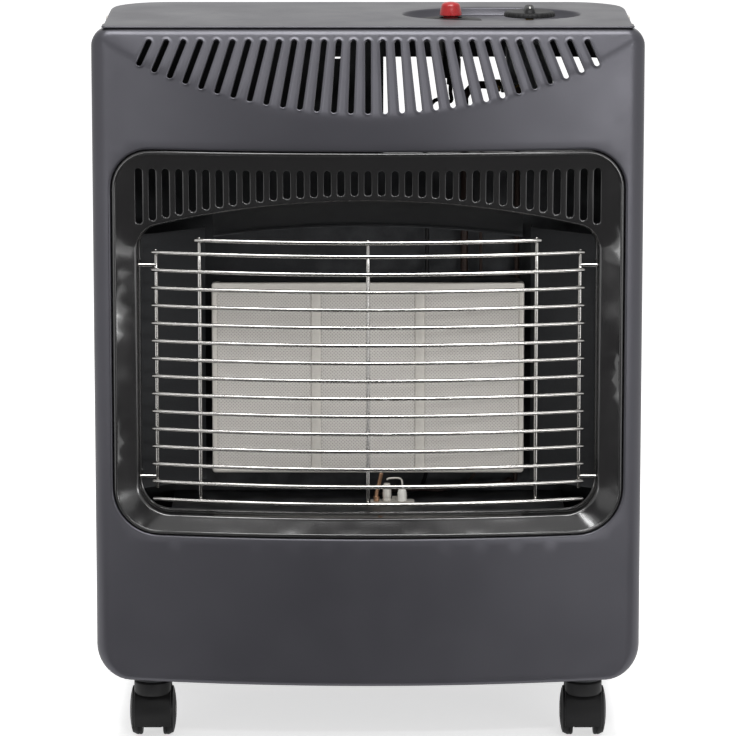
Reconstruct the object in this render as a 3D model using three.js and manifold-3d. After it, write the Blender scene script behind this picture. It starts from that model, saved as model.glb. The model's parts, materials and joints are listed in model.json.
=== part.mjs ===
// Portable gas cabinet heater: a bowed steel cabinet on four twin-wheel casters, with a
// three-plaque ceramic burner behind a wire guard and a bay for a gas cylinder at the back.
// Millimetres, +Z up, front towards -Y, origin on the floor under the middle of the cabinet.

import * as THREE from 'three';
import { mergeVertices } from 'three/addons/utils/BufferGeometryUtils.js';
import Module from 'manifold-3d';

const wasm = await Module();
wasm.setup();

// ---- Driving dimensions: what everything shares ----
const SHEET = 1.2; // pressed steel sheet
const SEAT_GAP = 0.3; // between two pieces that rest on each other
const RUNNING_CLEARANCE = 0.05; // round turning shafts
const SLIDING_CLEARANCE = 0.3; // round pieces that slide
const CUT_MARGIN = 1; // how far a cutter reaches past what it cuts

// ---- Driving dimensions: casters ----
const WHEEL_RADIUS = 20;
const WHEEL_WIDTH = 10;
const WHEEL_GAP = 0.5; // between a wheel and the web of the hood
const WHEEL_CHAMFER = 2.5;
const WHEEL_DISH = 2; // outer face of the hub, set in behind the tread
const HOOD_GAP = 1; // between the wheels and the hood round them
const HOOD_WALL = 2.4;
const HOOD_START = -14; // degrees above level at which the hood ends behind the wheels
const HOOD_END = 178; // and where it ends in front of them
const WEB_WIDTH = 15; // middle of the hood, between the wheels
const WEB_FOOT = 7.5; // floor to the underside of the web
const CASTER_RISE = 10; // wheels to the face that meets the base
const CASTER_TRAIL = 12; // wheel axle behind the swivel axis
const CASTER_INSET = 34; // swivel axes inside the sides
const FRONT_CASTER_BACK = 50; // swivel axes behind the front of the bow
const REAR_CASTER_INSET = 52; // swivel axes in front of the back
const AXLE_RADIUS = 3;
const AXLE_HEAD_RADIUS = 5.5;
const AXLE_HEAD = 1;
const STEM_RADIUS = 5;
const STEM_FLANGE_RADIUS = 17;
const STEM_FLANGE = 2.8;
const STEM_LENGTH = 23; // below the face that meets the base
const CASTER_HEIGHT = 2 * WHEEL_RADIUS + CASTER_RISE;

// ---- Driving dimensions: cabinet ----
const PANEL_WIDTH = 420; // front panel over its rolled side edges
const SIDE_SET_IN = 8; // sides and top inside the edges of the front panel
const DEPTH = 390; // middle of the bowed front to the back of the rear cover
const TOP_HEIGHT = 560; // floor to the top face
const BOW_RADIUS = 850; // bow of the front panel seen from above
const FRONT_LIFT = 1.5; // lower edge of the front panel above the base plate
const EDGE_ROLL = 12; // rolled side edge of the front panel
const FRONT_TOP_CORNER = 14; // corner radii of the front panel seen from the front
const FRONT_BOTTOM_CORNER = 26;
const FRONT_DEPTH = 45; // front of the bow to the return flange
const RETURN_FLANGE = 18; // width of the flange round the back of the front panel
const TOP_RETURN_FLANGE = 7; // narrower, to clear the view through the louvres
const HOLE_FLANGE = 8; // edge of the surround's hole, turned in
const FACET_HEIGHT = 64.5; // louvre face, from where it leaves the front to the top
const FACET_RUN = 27.5; // how far the louvre face leans back
const FACET_ROLL = 5; // rolled edge along the top of the louvre face
const CABINET_WIDTH = PANEL_WIDTH - 2 * SIDE_SET_IN;
const FRONT_TOP = TOP_HEIGHT - SHEET - SEAT_GAP;
const FACET_FOOT = FRONT_TOP - FACET_HEIGHT;

// ---- Driving dimensions: louvres in the sloping face ----
const LOUVRE_PAIRS = 14; // slots on each side of the middle one
const LOUVRE_WIDTH = 4.2;
const LOUVRE_PITCH = 10.99; // between the middle slots, along the top
const LOUVRE_SPREAD = 0.00406; // growth of the pitch towards the sides
const LOUVRE_LEAN = 1.95; // degrees that each slot leans past its neighbour
const LOUVRE_LEAN_EASE = 0.0008; // how that step eases off towards the sides
const LOUVRE_TOP_MARGIN = 9; // slope between the top edge and the slots
const LOUVRE_FOOT_MARGIN = 3; // slope between the middle slot and the foot of the face
const LOUVRE_FOOT_RADIUS = 420; // arc on which the lower ends lie

// ---- Driving dimensions: top, sides, base and rear cover ----
const TOP_REAR = 206; // rear edge of the top, behind the front of the bow
const TOP_REAR_CORNER = 45;
const TOP_SIDE_SKIRT = 10;
const TOP_REAR_SKIRT = 44;
const SKIRT_STEP = 148; // where the deeper rear skirt begins
const TOP_ROLL = 4; // rolled edges of the top
const DISH_X = 95.5; // middle of the control dish
const DISH_BACK = 115.5; // middle of the control dish behind the front of the bow
const DISH_LENGTH = 137;
const DISH_BREADTH = 93;
const DISH_DROP = 6;
const DISH_DRAFT = 2; // how far its wall slopes in
const SIDE_FLANGE = 12; // flange down the front edge of each side
const SIDE_REAR_HEIGHT = 330; // height of the sides and the rear cover at the back
const BASE_FRONT = 32; // front edge of the base plate
const BASE_FLANGE = 20; // upturned edge of the base
const BASE_VENTS = 5; // slots on each side of the base
const BASE_VENT_LENGTH = 60;
const BASE_VENT_WIDTH = 6;
const BASE_VENT_PITCH = 16;
const PAD_RISE = 2; // raised floor that the gas cylinder stands on
const PAD_HALF_WIDTH = 150;
const PAD_MARGIN = 14; // between the raised floor and the heat shield or the back
const COVER_DEPTH = 38; // rear cover, front to back
const COVER_CORNER = 30; // rounded upright corners of the rear cover
const COVER_RIM = 10; // flange round the top of the rear cover
const COVER_LEDGE = 6; // flange by which the rear cover sits on the base
const COVER_LOUVRES = 7; // slots in each column of the rear cover
const COVER_LOUVRE_LENGTH = 100;
const COVER_LOUVRE_WIDTH = 5;
const COVER_LOUVRE_PITCH = 14;
const COVER_LOUVRE_X = 70; // middle of each column
const COVER_LOUVRE_DROP = 45; // top of the cover to the first slot
const TONGUE_HEIGHTS = [120, 270]; // tongues that hold the cover inside the sides
const TONGUE_HEIGHT = 22;
const TONGUE_REACH = 12; // in front of the cover
const TONGUE_WELD = 14; // behind its front edge
const TONGUE_STEP = 2; // where the tongue steps out to the cover's wall

// ---- Driving dimensions: burner surround and guard ----
const SURROUND_MARGIN = 15; // front panel on each side of the surround
const SURROUND_DROP = 27; // below the foot of the louvre face
const SURROUND_HEIGHT = 297;
const SURROUND_TOP_CORNER = 30;
const SURROUND_BOTTOM_CORNER = 34;
const SURROUND_GAP = 0.8; // dark gap between the surround and the front panel
const SURROUND_SHEET = 1.5;
const SURROUND_RIM = 5; // depth of the surround's outer edge
const BEAD_WIDTH = 3; // rounded bead round the outside
const BEAD_TOP = 0.3; // crown of the bead behind the bow
const LAND_DROP = 9; // how far the land slopes in between bead and window
const WINDOW_JAMB = 19; // land on each side of the window
const WINDOW_SILL = 14; // below it
const WINDOW_HEAD = 38; // and above its arched top
const WINDOW_ARCH = 640; // radius of that arch
const WINDOW_TOP_CORNER = 18;
const WINDOW_BOTTOM_CORNER = 24;
const WINDOW_WALL = 24; // depth of the window's wall behind the bow
const GRILLE_PITCH = 10.25;
const GRILLE_SLOT = 5;
const GRILLE_END_MARGIN = 20; // least land outside the last slot
const GRILLE_HEAD = 14.3; // top of the surround to the slots
const GRILLE_FOOT_MARGIN = 3.7; // land between the slots and the arch
const GUARD_WIRE = 3;
const GUARD_ROWS = 15;
const GUARD_HEAD = 42; // top of the window to the first full wire
const GUARD_FOOT = 11; // bottom of the window to the last wire
const GUARD_SIDE = 11; // ends of the wires inside the window
const GUARD_SAG = 24; // bow of the wires
const GUARD_SET_BACK = 6; // middle of the wires behind the front of the bow
const GUARD_OUTER_INSET = 3; // upright wires inside the ends of the bowed ones
const GUARD_INNER_INSET = 36.5;
const GUARD_SHORT_WIRE_RISE = 10.5; // the short top wire above the first full one
const GUARD_WELD = 0.4; // how far crossing wires sink into each other
const GUARD_HOOK_ROWS = 1.25; // rows between the ends of the guard and its hooks
const SURROUND_WIDTH = PANEL_WIDTH - 2 * SURROUND_MARGIN;
const SURROUND_TOP = FACET_FOOT - SURROUND_DROP;
const SURROUND_BOTTOM = SURROUND_TOP - SURROUND_HEIGHT;
const WINDOW_WIDTH = SURROUND_WIDTH - 2 * WINDOW_JAMB;
const WINDOW_BOTTOM = SURROUND_BOTTOM + WINDOW_SILL;
const WINDOW_TOP = SURROUND_TOP - WINDOW_HEAD;
const GRILLE_TOP = SURROUND_TOP - GRILLE_HEAD;
const GRILLE_PAIRS = Math.floor((SURROUND_WIDTH / 2 - GRILLE_END_MARGIN) / GRILLE_PITCH);
const GUARD_TOP = WINDOW_TOP - GUARD_HEAD;
const GUARD_BOTTOM = WINDOW_BOTTOM + GUARD_FOOT;
const GUARD_HALF_SPAN = WINDOW_WIDTH / 2 - GUARD_SIDE;
const GUARD_OUTER_UPRIGHT = GUARD_HALF_SPAN - GUARD_OUTER_INSET;
const GUARD_INNER_UPRIGHT = GUARD_HALF_SPAN - GUARD_INNER_INSET;

// ---- Driving dimensions: burner and what stands round it ----
const BURNER_FACE = 74; // front of the burner frame behind the front of the bow
const BURNER_RISE = 22; // above the bottom of the window
const PLAQUE_WIDTH = 75;
const PLAQUE_HEIGHT = 141;
const PLAQUE_THICKNESS = 8;
const PLAQUE_PITCH = 80.5;
const FRAME_LAP = 1; // frame over the edge of each plaque
const FRAME_FOOT = 2; // frame below the plaques
const FRAME_HEAD = 7; // and above them
const HOUSING_DEPTH = 23; // plenum behind the burner frame
const HOUSING_MARGIN = 3; // housing past the outer plaques
const HOUSING_WALL = 3; // round the plenum
const BRACKET_X = 102; // channels that carry the housing on the heat shield
const BRACKET_WIDTH = 12;
const BRACKET_INSET = 24; // shorter than the burner at each end
const SHIELD_BACK = 116; // heat shield behind the front of the bow
const SHIELD_HIGH_DROP = 15; // its top behind the left louvres, below the top face
const SHIELD_LOW_DROP = 17; // its top under the gas valve
const SHIELD_STEP_X = 12; // where it steps down
const SHIELD_HOLE = [-22.8, -13]; // small hole, across and below the shield's top
const SHIELD_HOLE_RADIUS = 2;
const SHIELD_SLOT = [-24, -19]; // small slot under it
const SHIELD_SLOT_LENGTH = 6;
const SHIELD_SLOT_WIDTH = 2;
const HOOD_HALF_WIDTH = 119;
const HOOD_LIP_BACK = 60; // lip of the flue hood behind the bow
const HOOD_FALL = 24.5; // lip below the crown of the window
const HOOD_LIP_ARCH = 778;
const REFLECTOR_INNER_X = 126; // rear edge of the side reflectors
const REFLECTOR_INNER_BACK = 82;
const REFLECTOR_FOOT = 16; // side reflectors above the bottom of the window
const REFLECTOR_HEAD = 31; // and below its crown
const REFLECTOR_BEND = 12; // where the side reflectors curve in behind the window's wall
const BURNER_BOTTOM = WINDOW_BOTTOM + BURNER_RISE;
const BURNER_TOP = BURNER_BOTTOM + FRAME_FOOT + PLAQUE_HEIGHT + FRAME_HEAD;
const HOOD_LIP_HEIGHT = WINDOW_TOP - HOOD_FALL;
const REFLECTOR_BOTTOM = WINDOW_BOTTOM + REFLECTOR_FOOT;
const REFLECTOR_TOP = WINDOW_TOP - REFLECTOR_HEAD;

// ---- Driving dimensions: controls, gas valve and igniter ----
const KNOB_X = 125;
const KNOB_RADIUS = 20;
const KNOB_DISC = 3.7; // thickness of the knob's disc
const KNOB_HEIGHT = 9.7; // with its grip bar
const GRIP_WIDTH = 8.4;
const GRIP_INSET = 2.5; // grip bar inside the edge of the disc
const GRIP_END = 7; // sloping ends of the grip bar
const VALVE_PUSH = 4; // the knob is pushed in to light the pilot
const SPINDLE_RADIUS = 3.2;
const SPINDLE_SET_IN = 3; // top of the spindle below the top of the knob
const SPINDLE_FLAT = 1; // depth of the flat that turns it
const SPINDLE_REACH = 6; // spindle below the plunger
const PLUNGER_RADIUS = 6.2;
const PLUNGER_REACH = 15; // plunger inside the valve
const VALVE_HEIGHT = 48;
const VALVE_BOSS = 7.8; // boss between the valve's cap and the dish
const VALVE_BOSS_RADIUS = 10;
const VALVE_HALF_WIDTH = 18;
const VALVE_HALF_DEPTH = 15.5;
const VALVE_CORNER = 5;
const VALVE_CAP_HALF = 12; // square caps at its top and bottom
const VALVE_CAP_LOW = 6;
const VALVE_CAP_HIGH = 8;
const PORT_RISE = 7.2; // outlet ports above the valve's bottom
const PORT_REACH = 4;
const INLET_RISE = 17; // inlet above the valve's bottom
const PILOT_PORT_OFFSET = 9; // pilot port beside the spindle
const BUTTON_X = 64;
const BUTTON_RADIUS = 8.6;
const BUTTON_RISE = 15.5; // top of the button above the floor of the dish
const BUTTON_HEIGHT = 10.5; // button above its stem
const BUTTON_STEM = 6; // radius of the stem
const BUTTON_TRAVEL = 6;
const BEZEL_RADIUS = 24;
const BEZEL_HEIGHT = 3.2;
const IGNITER_HEIGHT = 47.5;
const IGNITER_RADIUS = 8;
const IGNITER_FLANGE = 12; // radius of the flange under the dish
const IGNITER_FLANGE_HEIGHT = 2.5;
const NOZZLE_BARBS = 3;
const NOZZLE_RADIUS = 4.2; // between its barbs
const NOZZLE_BORE = 2.5;
const NOZZLE_COLLAR = 8; // radius and length of its collar
const DISH_FLOOR = TOP_HEIGHT - DISH_DROP;
const DISH_UNDERSIDE = DISH_FLOOR - SHEET;
const VALVE_TOP = DISH_UNDERSIDE - VALVE_BOSS;
const VALVE_BOTTOM = VALVE_TOP - VALVE_HEIGHT;

// ---- Driving dimensions: pipes, leads and pilot ----
const SUPPLY_PIPE_RADIUS = 3;
const PILOT_PIPE_RADIUS = 2;
const LEAD_RADIUS = 1.6;
const PROBE_RADIUS = 1.3; // the thermocouple's lead
const DUCT_BACK = 107; // pipes and leads drop between the burner and the heat shield
const INJECTOR_X = 75;
const INJECTOR_DROP = 54; // top of the injector below the top of the burner
const INJECTOR_HEIGHT = 22;
const INJECTOR_WIDTH = 12;
const PROBE_LEAD_X = 88; // where the thermocouple's lead rises
const SPARK_LEAD_X = 46; // where the igniter's lead drops
const PILOT_BACK = 65; // pilot group behind the front of the bow
const PILOT_X = 14.7;
const PROBE_X = 6.5;
const ELECTRODE_X = 26.5;
const PILOT_TUBE = 3.4; // radii of the pilot burner
const PILOT_TIP = 2.6;
const PILOT_HEIGHT = 14;
const PROBE_HEIGHT = 22;
const ELECTRODE_RADIUS = 3.6;
const ELECTRODE_HEIGHT = 10;

// ---- Frame of reference worked out from the driving dimensions ----
const FRONT = -DEPTH / 2;
const behind = (distance) => FRONT + distance;
const bowAt = (x) => BOW_RADIUS - Math.sqrt(BOW_RADIUS ** 2 - x ** 2);
const radians = THREE.MathUtils.degToRad;

// ---- Finishes ----
const finish = (color, roughness, metalness) => new THREE.MeshStandardMaterial({ color, roughness, metalness });
const GRAPHITE_PAINT = () => finish(0x55545a, 0.42, 0.35);
const BLACK_ENAMEL = () => finish(0x1c1b1c, 0.18, 0.0);
const DARK_STEEL = () => finish(0x2b2c2e, 0.5, 0.6);
const BRIGHT_STEEL = () => finish(0xb9b9b7, 0.3, 0.9);
const CHROME_WIRE = () => finish(0xd0cfcd, 0.18, 1.0);
const CERAMIC = () => finish(0xc1bdb5, 0.9, 0.0);
const BLACK_PLASTIC = () => finish(0x262626, 0.45, 0.0);
const RED_PLASTIC = () => finish(0xb01515, 0.35, 0.0);
const BRASS = () => finish(0xb08d4a, 0.35, 0.9);
const COPPER = () => finish(0xb06a45, 0.35, 0.9);
const DIE_CAST = () => finish(0x8d8f92, 0.5, 0.8);

// ---- Geometry helpers ----

const GRID = 1e-4; // corners snap to this grid, so faces that should lie in one plane do

// A closed three.js geometry as a solid that can be cut and joined.
function solidFrom(geometry) {
  const bare = geometry.index ? geometry.toNonIndexed() : geometry.clone();
  bare.deleteAttribute('normal');
  bare.deleteAttribute('uv');
  const merged = mergeVertices(bare, 1e-4);
  const corners = Array.from(merged.index.array);
  const faces = [];
  for (let i = 0; i < corners.length; i += 3) {
    const [a, b, c] = corners.slice(i, i + 3);
    if (a !== b && b !== c && c !== a) faces.push(a, b, c);
  }
  const places = merged.attributes.position.array.map((value) => Math.round(value / GRID) * GRID);
  if (signedVolume(places, faces) < 0) faces.reverse();
  return new wasm.Manifold(new wasm.Mesh({
    numProp: 3,
    vertProperties: new Float32Array(places),
    triVerts: new Uint32Array(faces),
  }));
}

// Positive where the faces look outwards.
function signedVolume(places, faces) {
  const corner = (index) => new THREE.Vector3().fromArray(places, 3 * index);
  let volume = 0;
  for (let i = 0; i < faces.length; i += 3) {
    volume += corner(faces[i]).dot(corner(faces[i + 1]).cross(corner(faces[i + 2]))) / 6;
  }
  return volume;
}

// A solid as a named mesh with its own material.
function meshFrom(name, solid, material) {
  const { vertProperties, triVerts } = solid.getMesh();
  const geometry = new THREE.BufferGeometry();
  geometry.setAttribute('position', new THREE.BufferAttribute(vertProperties, 3));
  geometry.setIndex(new THREE.BufferAttribute(triVerts, 1));
  geometry.computeVertexNormals();
  const mesh = new THREE.Mesh(geometry, material);
  mesh.name = name;
  return mesh;
}

const union = (solids) => solids.reduce((joined, solid) => joined.add(solid));

// Prisms: a flat shape pushed along Z, Y or X between two places.
function prismZ(shape, low, high, curveSegments = 6) {
  const geometry = new THREE.ExtrudeGeometry(shape, { depth: high - low, bevelEnabled: false, curveSegments });
  geometry.translate(0, 0, low);
  return solidFrom(geometry);
}

function prismY(shapeXZ, low, high, curveSegments = 6) {
  const geometry = new THREE.ExtrudeGeometry(shapeXZ, { depth: high - low, bevelEnabled: false, curveSegments });
  geometry.rotateX(Math.PI / 2);
  geometry.translate(0, high, 0);
  return solidFrom(geometry);
}

function prismX(shapeYZ, low, high, curveSegments = 6) {
  const geometry = new THREE.ExtrudeGeometry(shapeYZ, { depth: high - low, bevelEnabled: false, curveSegments });
  const along = new THREE.Matrix4().makeBasis(
    new THREE.Vector3(0, 1, 0),
    new THREE.Vector3(0, 0, 1),
    new THREE.Vector3(1, 0, 0),
  );
  geometry.applyMatrix4(along);
  geometry.translate(low, 0, 0);
  return solidFrom(geometry);
}

// A block between two corners.
function block([x0, y0, z0], [x1, y1, z1]) {
  const geometry = new THREE.BoxGeometry(x1 - x0, y1 - y0, z1 - z0);
  geometry.translate((x0 + x1) / 2, (y0 + y1) / 2, (z0 + z1) / 2);
  return solidFrom(geometry);
}

// A round bar along 'x', 'y' or 'z', centred on a point.
function bar(axis, centre, radius, length, sides = 16, farRadius = radius) {
  const geometry = new THREE.CylinderGeometry(farRadius, radius, length, sides);
  if (axis === 'x') geometry.rotateZ(-Math.PI / 2);
  if (axis === 'z') geometry.rotateX(Math.PI / 2);
  geometry.translate(...centre);
  return solidFrom(geometry);
}

// A round bar between two points that lie along 'x', 'y' or 'z' from each other.
function barBetween(axis, from, to, radius, sides = 12) {
  const along = 'xyz'.indexOf(axis);
  const centre = from.map((value, i) => (value + to[i]) / 2);
  return bar(axis, centre, radius, Math.abs(to[along] - from[along]), sides);
}

// A profile of [radius, height] pairs turned about an upright axis.
function turned(profile, x, y, sides = 24) {
  const points = profile.map(([radius, height]) => new THREE.Vector2(radius, height));
  const geometry = new THREE.LatheGeometry(points, sides);
  geometry.rotateX(Math.PI / 2);
  geometry.translate(x, y, 0);
  return solidFrom(geometry);
}

// A round tube or wire along a list of points.
function wire(points, radius, steps, sides = 6, tension = 0.5) {
  const corner = (i) => (2 * Math.PI * i) / sides;
  const ring = Array.from({ length: sides }, (_, i) => [radius * Math.cos(corner(i)), radius * Math.sin(corner(i))]);
  const section = new THREE.Shape(ring.map(([x, y]) => new THREE.Vector2(x, y)));
  const path = new THREE.CatmullRomCurve3(points.map((p) => new THREE.Vector3(...p)), false, 'catmullrom', tension);
  const options = { steps, extrudePath: path, bevelEnabled: false };
  return solidFrom(new THREE.ExtrudeGeometry(section, options));
}

// A rectangle with rounded corners, listed bottom left, bottom right, top right, top left.
function roundedRectangle(left, bottom, right, top, radii) {
  const [bl, br, tr, tl] = Array.isArray(radii) ? radii : [radii, radii, radii, radii];
  const shape = new THREE.Shape();
  shape.moveTo(left + bl, bottom);
  shape.lineTo(right - br, bottom);
  shape.absarc(right - br, bottom + br, br, -Math.PI / 2, 0, false);
  shape.lineTo(right, top - tr);
  shape.absarc(right - tr, top - tr, tr, 0, Math.PI / 2, false);
  shape.lineTo(left + tl, top);
  shape.absarc(left + tl, top - tl, tl, Math.PI / 2, Math.PI, false);
  shape.lineTo(left, bottom + bl);
  shape.absarc(left + bl, bottom + bl, bl, Math.PI, 1.5 * Math.PI, false);
  return shape;
}

// A slot with round ends between two heights on its own upright centre line.
function capsule(x, low, high, width) {
  const r = width / 2;
  const shape = new THREE.Shape();
  shape.absarc(x, low + r, r, Math.PI, 2 * Math.PI, false);
  shape.absarc(x, high - r, r, 0, Math.PI, false);
  return shape;
}

// A slot with round ends along a level centre line.
function levelSlot(left, right, centre, width) {
  const r = width / 2;
  const shape = new THREE.Shape();
  shape.absarc(left + r, centre, r, Math.PI / 2, 1.5 * Math.PI, false);
  shape.absarc(right - r, centre, r, -Math.PI / 2, Math.PI / 2, false);
  return shape;
}

// A closed shell from rings of points: each ring joins the next, and the last joins the first.
function ringLoft(rings) {
  const count = rings[0].length;
  const positions = rings.flat().flatMap((p) => [p.x, p.y, p.z]);
  const faces = [];
  rings.forEach((_, ring) => {
    const here = ring * count;
    const there = ((ring + 1) % rings.length) * count;
    for (let i = 0; i < count; i += 1) {
      const j = (i + 1) % count;
      faces.push(here + i, here + j, there + j, here + i, there + j, there + i);
    }
  });
  const geometry = new THREE.BufferGeometry();
  geometry.setAttribute('position', new THREE.Float32BufferAttribute(positions, 3));
  geometry.setIndex(faces);
  return solidFrom(geometry);
}

// A curved sheet: pointAt(u, v) over the unit square, thickened by one offset.
function sheet(pointAt, columns, rows, offset) {
  const rings = [];
  for (let row = 0; row <= rows; row += 1) {
    const face = [];
    for (let column = 0; column <= columns; column += 1) {
      face.push(new THREE.Vector3(...pointAt(column / columns, row / rows)));
    }
    const back = face.map((p) => p.clone().add(new THREE.Vector3(...offset))).reverse();
    rings.push([...face, ...back]);
  }
  return loftBetween(rings);
}

// A solid through rings of points, closed by a flat strip of faces at each end.
function loftBetween(rings) {
  const count = rings[0].length;
  const positions = rings.flat().flatMap((p) => [p.x, p.y, p.z]);
  const faces = [];
  for (let ring = 0; ring < rings.length - 1; ring += 1) {
    const here = ring * count;
    const there = here + count;
    for (let i = 0; i < count; i += 1) {
      const j = (i + 1) % count;
      faces.push(here + i, here + j, there + j, here + i, there + j, there + i);
    }
  }
  const last = (rings.length - 1) * count;
  for (let i = 0; i < count / 2 - 1; i += 1) {
    const mate = count - 1 - i;
    faces.push(i, mate, i + 1, i + 1, mate, mate - 1);
    faces.push(last + i, last + i + 1, last + mate, last + i + 1, last + mate - 1, last + mate);
  }
  const geometry = new THREE.BufferGeometry();
  geometry.setAttribute('position', new THREE.Float32BufferAttribute(positions, 3));
  geometry.setIndex(faces);
  return solidFrom(geometry);
}

// ---- Heights of the base, which the front panel and the heat shield meet ----

const BASE_UNDERSIDE = CASTER_HEIGHT + SEAT_GAP;
const BASE_TOP = BASE_UNDERSIDE + SHEET;
const BASE_EDGE = BASE_UNDERSIDE + BASE_FLANGE;
const PAD_TOP = BASE_TOP + PAD_RISE;
const FRONT_BOTTOM = BASE_TOP + FRONT_LIFT;

// ---- Front panel: a bowed tray with a sloping louvre face and a hole for the surround ----

const FRONT_REAR = behind(FRONT_DEPTH);
const FACET_LEAN = Math.atan2(FACET_RUN, FACET_HEIGHT);
const LOUVRE_CUT = 8; // reach of a louvre's cutter on each side of the sheet

// The bowed front seen from above, drawn in by an inset and closed along a rear line.
function bowedPlan(inset, rear) {
  const half = PANEL_WIDTH / 2;
  const bowCentre = FRONT + BOW_RADIUS;
  const rollX = half - EDGE_ROLL;
  const rollY = bowCentre - Math.sqrt((BOW_RADIUS - EDGE_ROLL) ** 2 - rollX ** 2);
  const rollEnd = Math.atan2(rollY - bowCentre, rollX);
  const shape = new THREE.Shape();
  shape.absarc(-rollX, rollY, EDGE_ROLL - inset, Math.PI, Math.PI - rollEnd, false);
  shape.absarc(0, bowCentre, BOW_RADIUS - inset, Math.PI - rollEnd, 2 * Math.PI + rollEnd, false);
  shape.absarc(rollX, rollY, EDGE_ROLL - inset, rollEnd, 0, false);
  shape.lineTo(half - inset, rear);
  shape.lineTo(inset - half, rear);
  return shape;
}

// The same front seen from the side: it leans back along the louvre face to a rolled top edge.
function leaningProfile(inset) {
  const top = FRONT_TOP - inset;
  const roll = Math.max(FACET_ROLL - inset, SHEET);
  const faceAt = (z) => behind((z - FACET_FOOT) * Math.tan(FACET_LEAN) + inset / Math.cos(FACET_LEAN));
  const shape = new THREE.Shape();
  shape.moveTo(faceAt(0), 0);
  shape.lineTo(faceAt(top - roll), top - roll);
  shape.quadraticCurveTo(faceAt(top), top, faceAt(top) + roll, top);
  shape.lineTo(behind(DEPTH), top);
  shape.lineTo(behind(DEPTH), 0);
  return shape;
}

function bowedFront(inset, rear) {
  const half = PANEL_WIDTH / 2 - inset;
  const corners = [FRONT_BOTTOM_CORNER, FRONT_BOTTOM_CORNER, FRONT_TOP_CORNER, FRONT_TOP_CORNER];
  const radii = corners.map((radius) => Math.max(radius - inset, SHEET));
  const outline = roundedRectangle(-half, FRONT_BOTTOM + inset, half, FRONT_TOP - inset, radii);
  return prismZ(bowedPlan(inset, rear), 0, TOP_HEIGHT, 5)
    .intersect(prismY(outline, FRONT - SHEET, rear, 3))
    .intersect(prismX(leaningProfile(inset), -half - SHEET, half + SHEET, 3));
}

// Places in the plane of the louvre face: x across, rise up the slope from its top edge.
const louvrePlane = new THREE.Matrix4().makeBasis(
  new THREE.Vector3(1, 0, 0),
  new THREE.Vector3(0, Math.sin(FACET_LEAN), Math.cos(FACET_LEAN)),
  new THREE.Vector3(0, -Math.cos(FACET_LEAN), Math.sin(FACET_LEAN)),
);
louvrePlane.setPosition(0, behind(FACET_RUN), FRONT_TOP);

// One louvre: a capsule that leans away from the middle, its lower end on the common arc.
function louvreCutter(place) {
  const lean = radians(LOUVRE_LEAN * place * (1 - LOUVRE_LEAN_EASE * place ** 2));
  const topX = LOUVRE_PITCH * place + LOUVRE_SPREAD * place ** 3;
  const topRise = -LOUVRE_TOP_MARGIN;
  const slopeLength = FACET_RUN / Math.sin(FACET_LEAN);
  const arcRise = (x) => LOUVRE_FOOT_RADIUS - Math.sqrt(LOUVRE_FOOT_RADIUS ** 2 - x ** 2);
  let length = slopeLength - LOUVRE_TOP_MARGIN - LOUVRE_FOOT_MARGIN;
  for (let pass = 0; pass < 4; pass += 1) {
    const footX = topX + length * Math.sin(lean);
    const footRise = LOUVRE_FOOT_MARGIN - slopeLength + arcRise(footX);
    length = (topRise - footRise) / Math.cos(lean);
  }
  const options = { depth: 2 * LOUVRE_CUT, bevelEnabled: false, curveSegments: 1 };
  const geometry = new THREE.ExtrudeGeometry(capsule(0, -length, 0, LOUVRE_WIDTH), options);
  geometry.translate(0, 0, -LOUVRE_CUT);
  geometry.rotateZ(lean);
  geometry.translate(topX, topRise, 0);
  geometry.applyMatrix4(louvrePlane);
  return solidFrom(geometry);
}

function frontPanel() {
  const hole = prismY(surroundShape(-SURROUND_GAP), FRONT - CUT_MARGIN, FRONT_REAR - 2 * SHEET);
  const holeEdge = prismY(surroundShape(-SURROUND_GAP - SHEET), FRONT - CUT_MARGIN, FRONT_REAR - 2 * SHEET)
    .intersect(bowedFront(0, FRONT_REAR))
    .subtract(bowedFront(HOLE_FLANGE, FRONT_REAR + SHEET));
  const halfOpening = PANEL_WIDTH / 2 - RETURN_FLANGE;
  const opening = block(
    [-halfOpening, FRONT_REAR - 2 * SHEET, FRONT_BOTTOM + RETURN_FLANGE],
    [halfOpening, FRONT_REAR + SHEET, FRONT_TOP - TOP_RETURN_FLANGE],
  );
  const cutters = [hole, opening];
  for (let place = -LOUVRE_PAIRS; place <= LOUVRE_PAIRS; place += 1) {
    cutters.push(louvreCutter(place));
  }
  const shell = bowedFront(0, FRONT_REAR).subtract(bowedFront(SHEET, FRONT_REAR - SHEET));
  return meshFrom('front_panel', shell.add(holeEdge).subtract(union(cutters)), GRAPHITE_PAINT());
}

// ---- Burner surround: a pressed frame swept round the arched window ----

const CORNER_STEPS = 4;
const TOP_EDGE_STEPS = 10;
const NO_ARCH = 1e5; // radius of an edge that stays straight
const LEAST_CORNER = 0.5;

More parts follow.
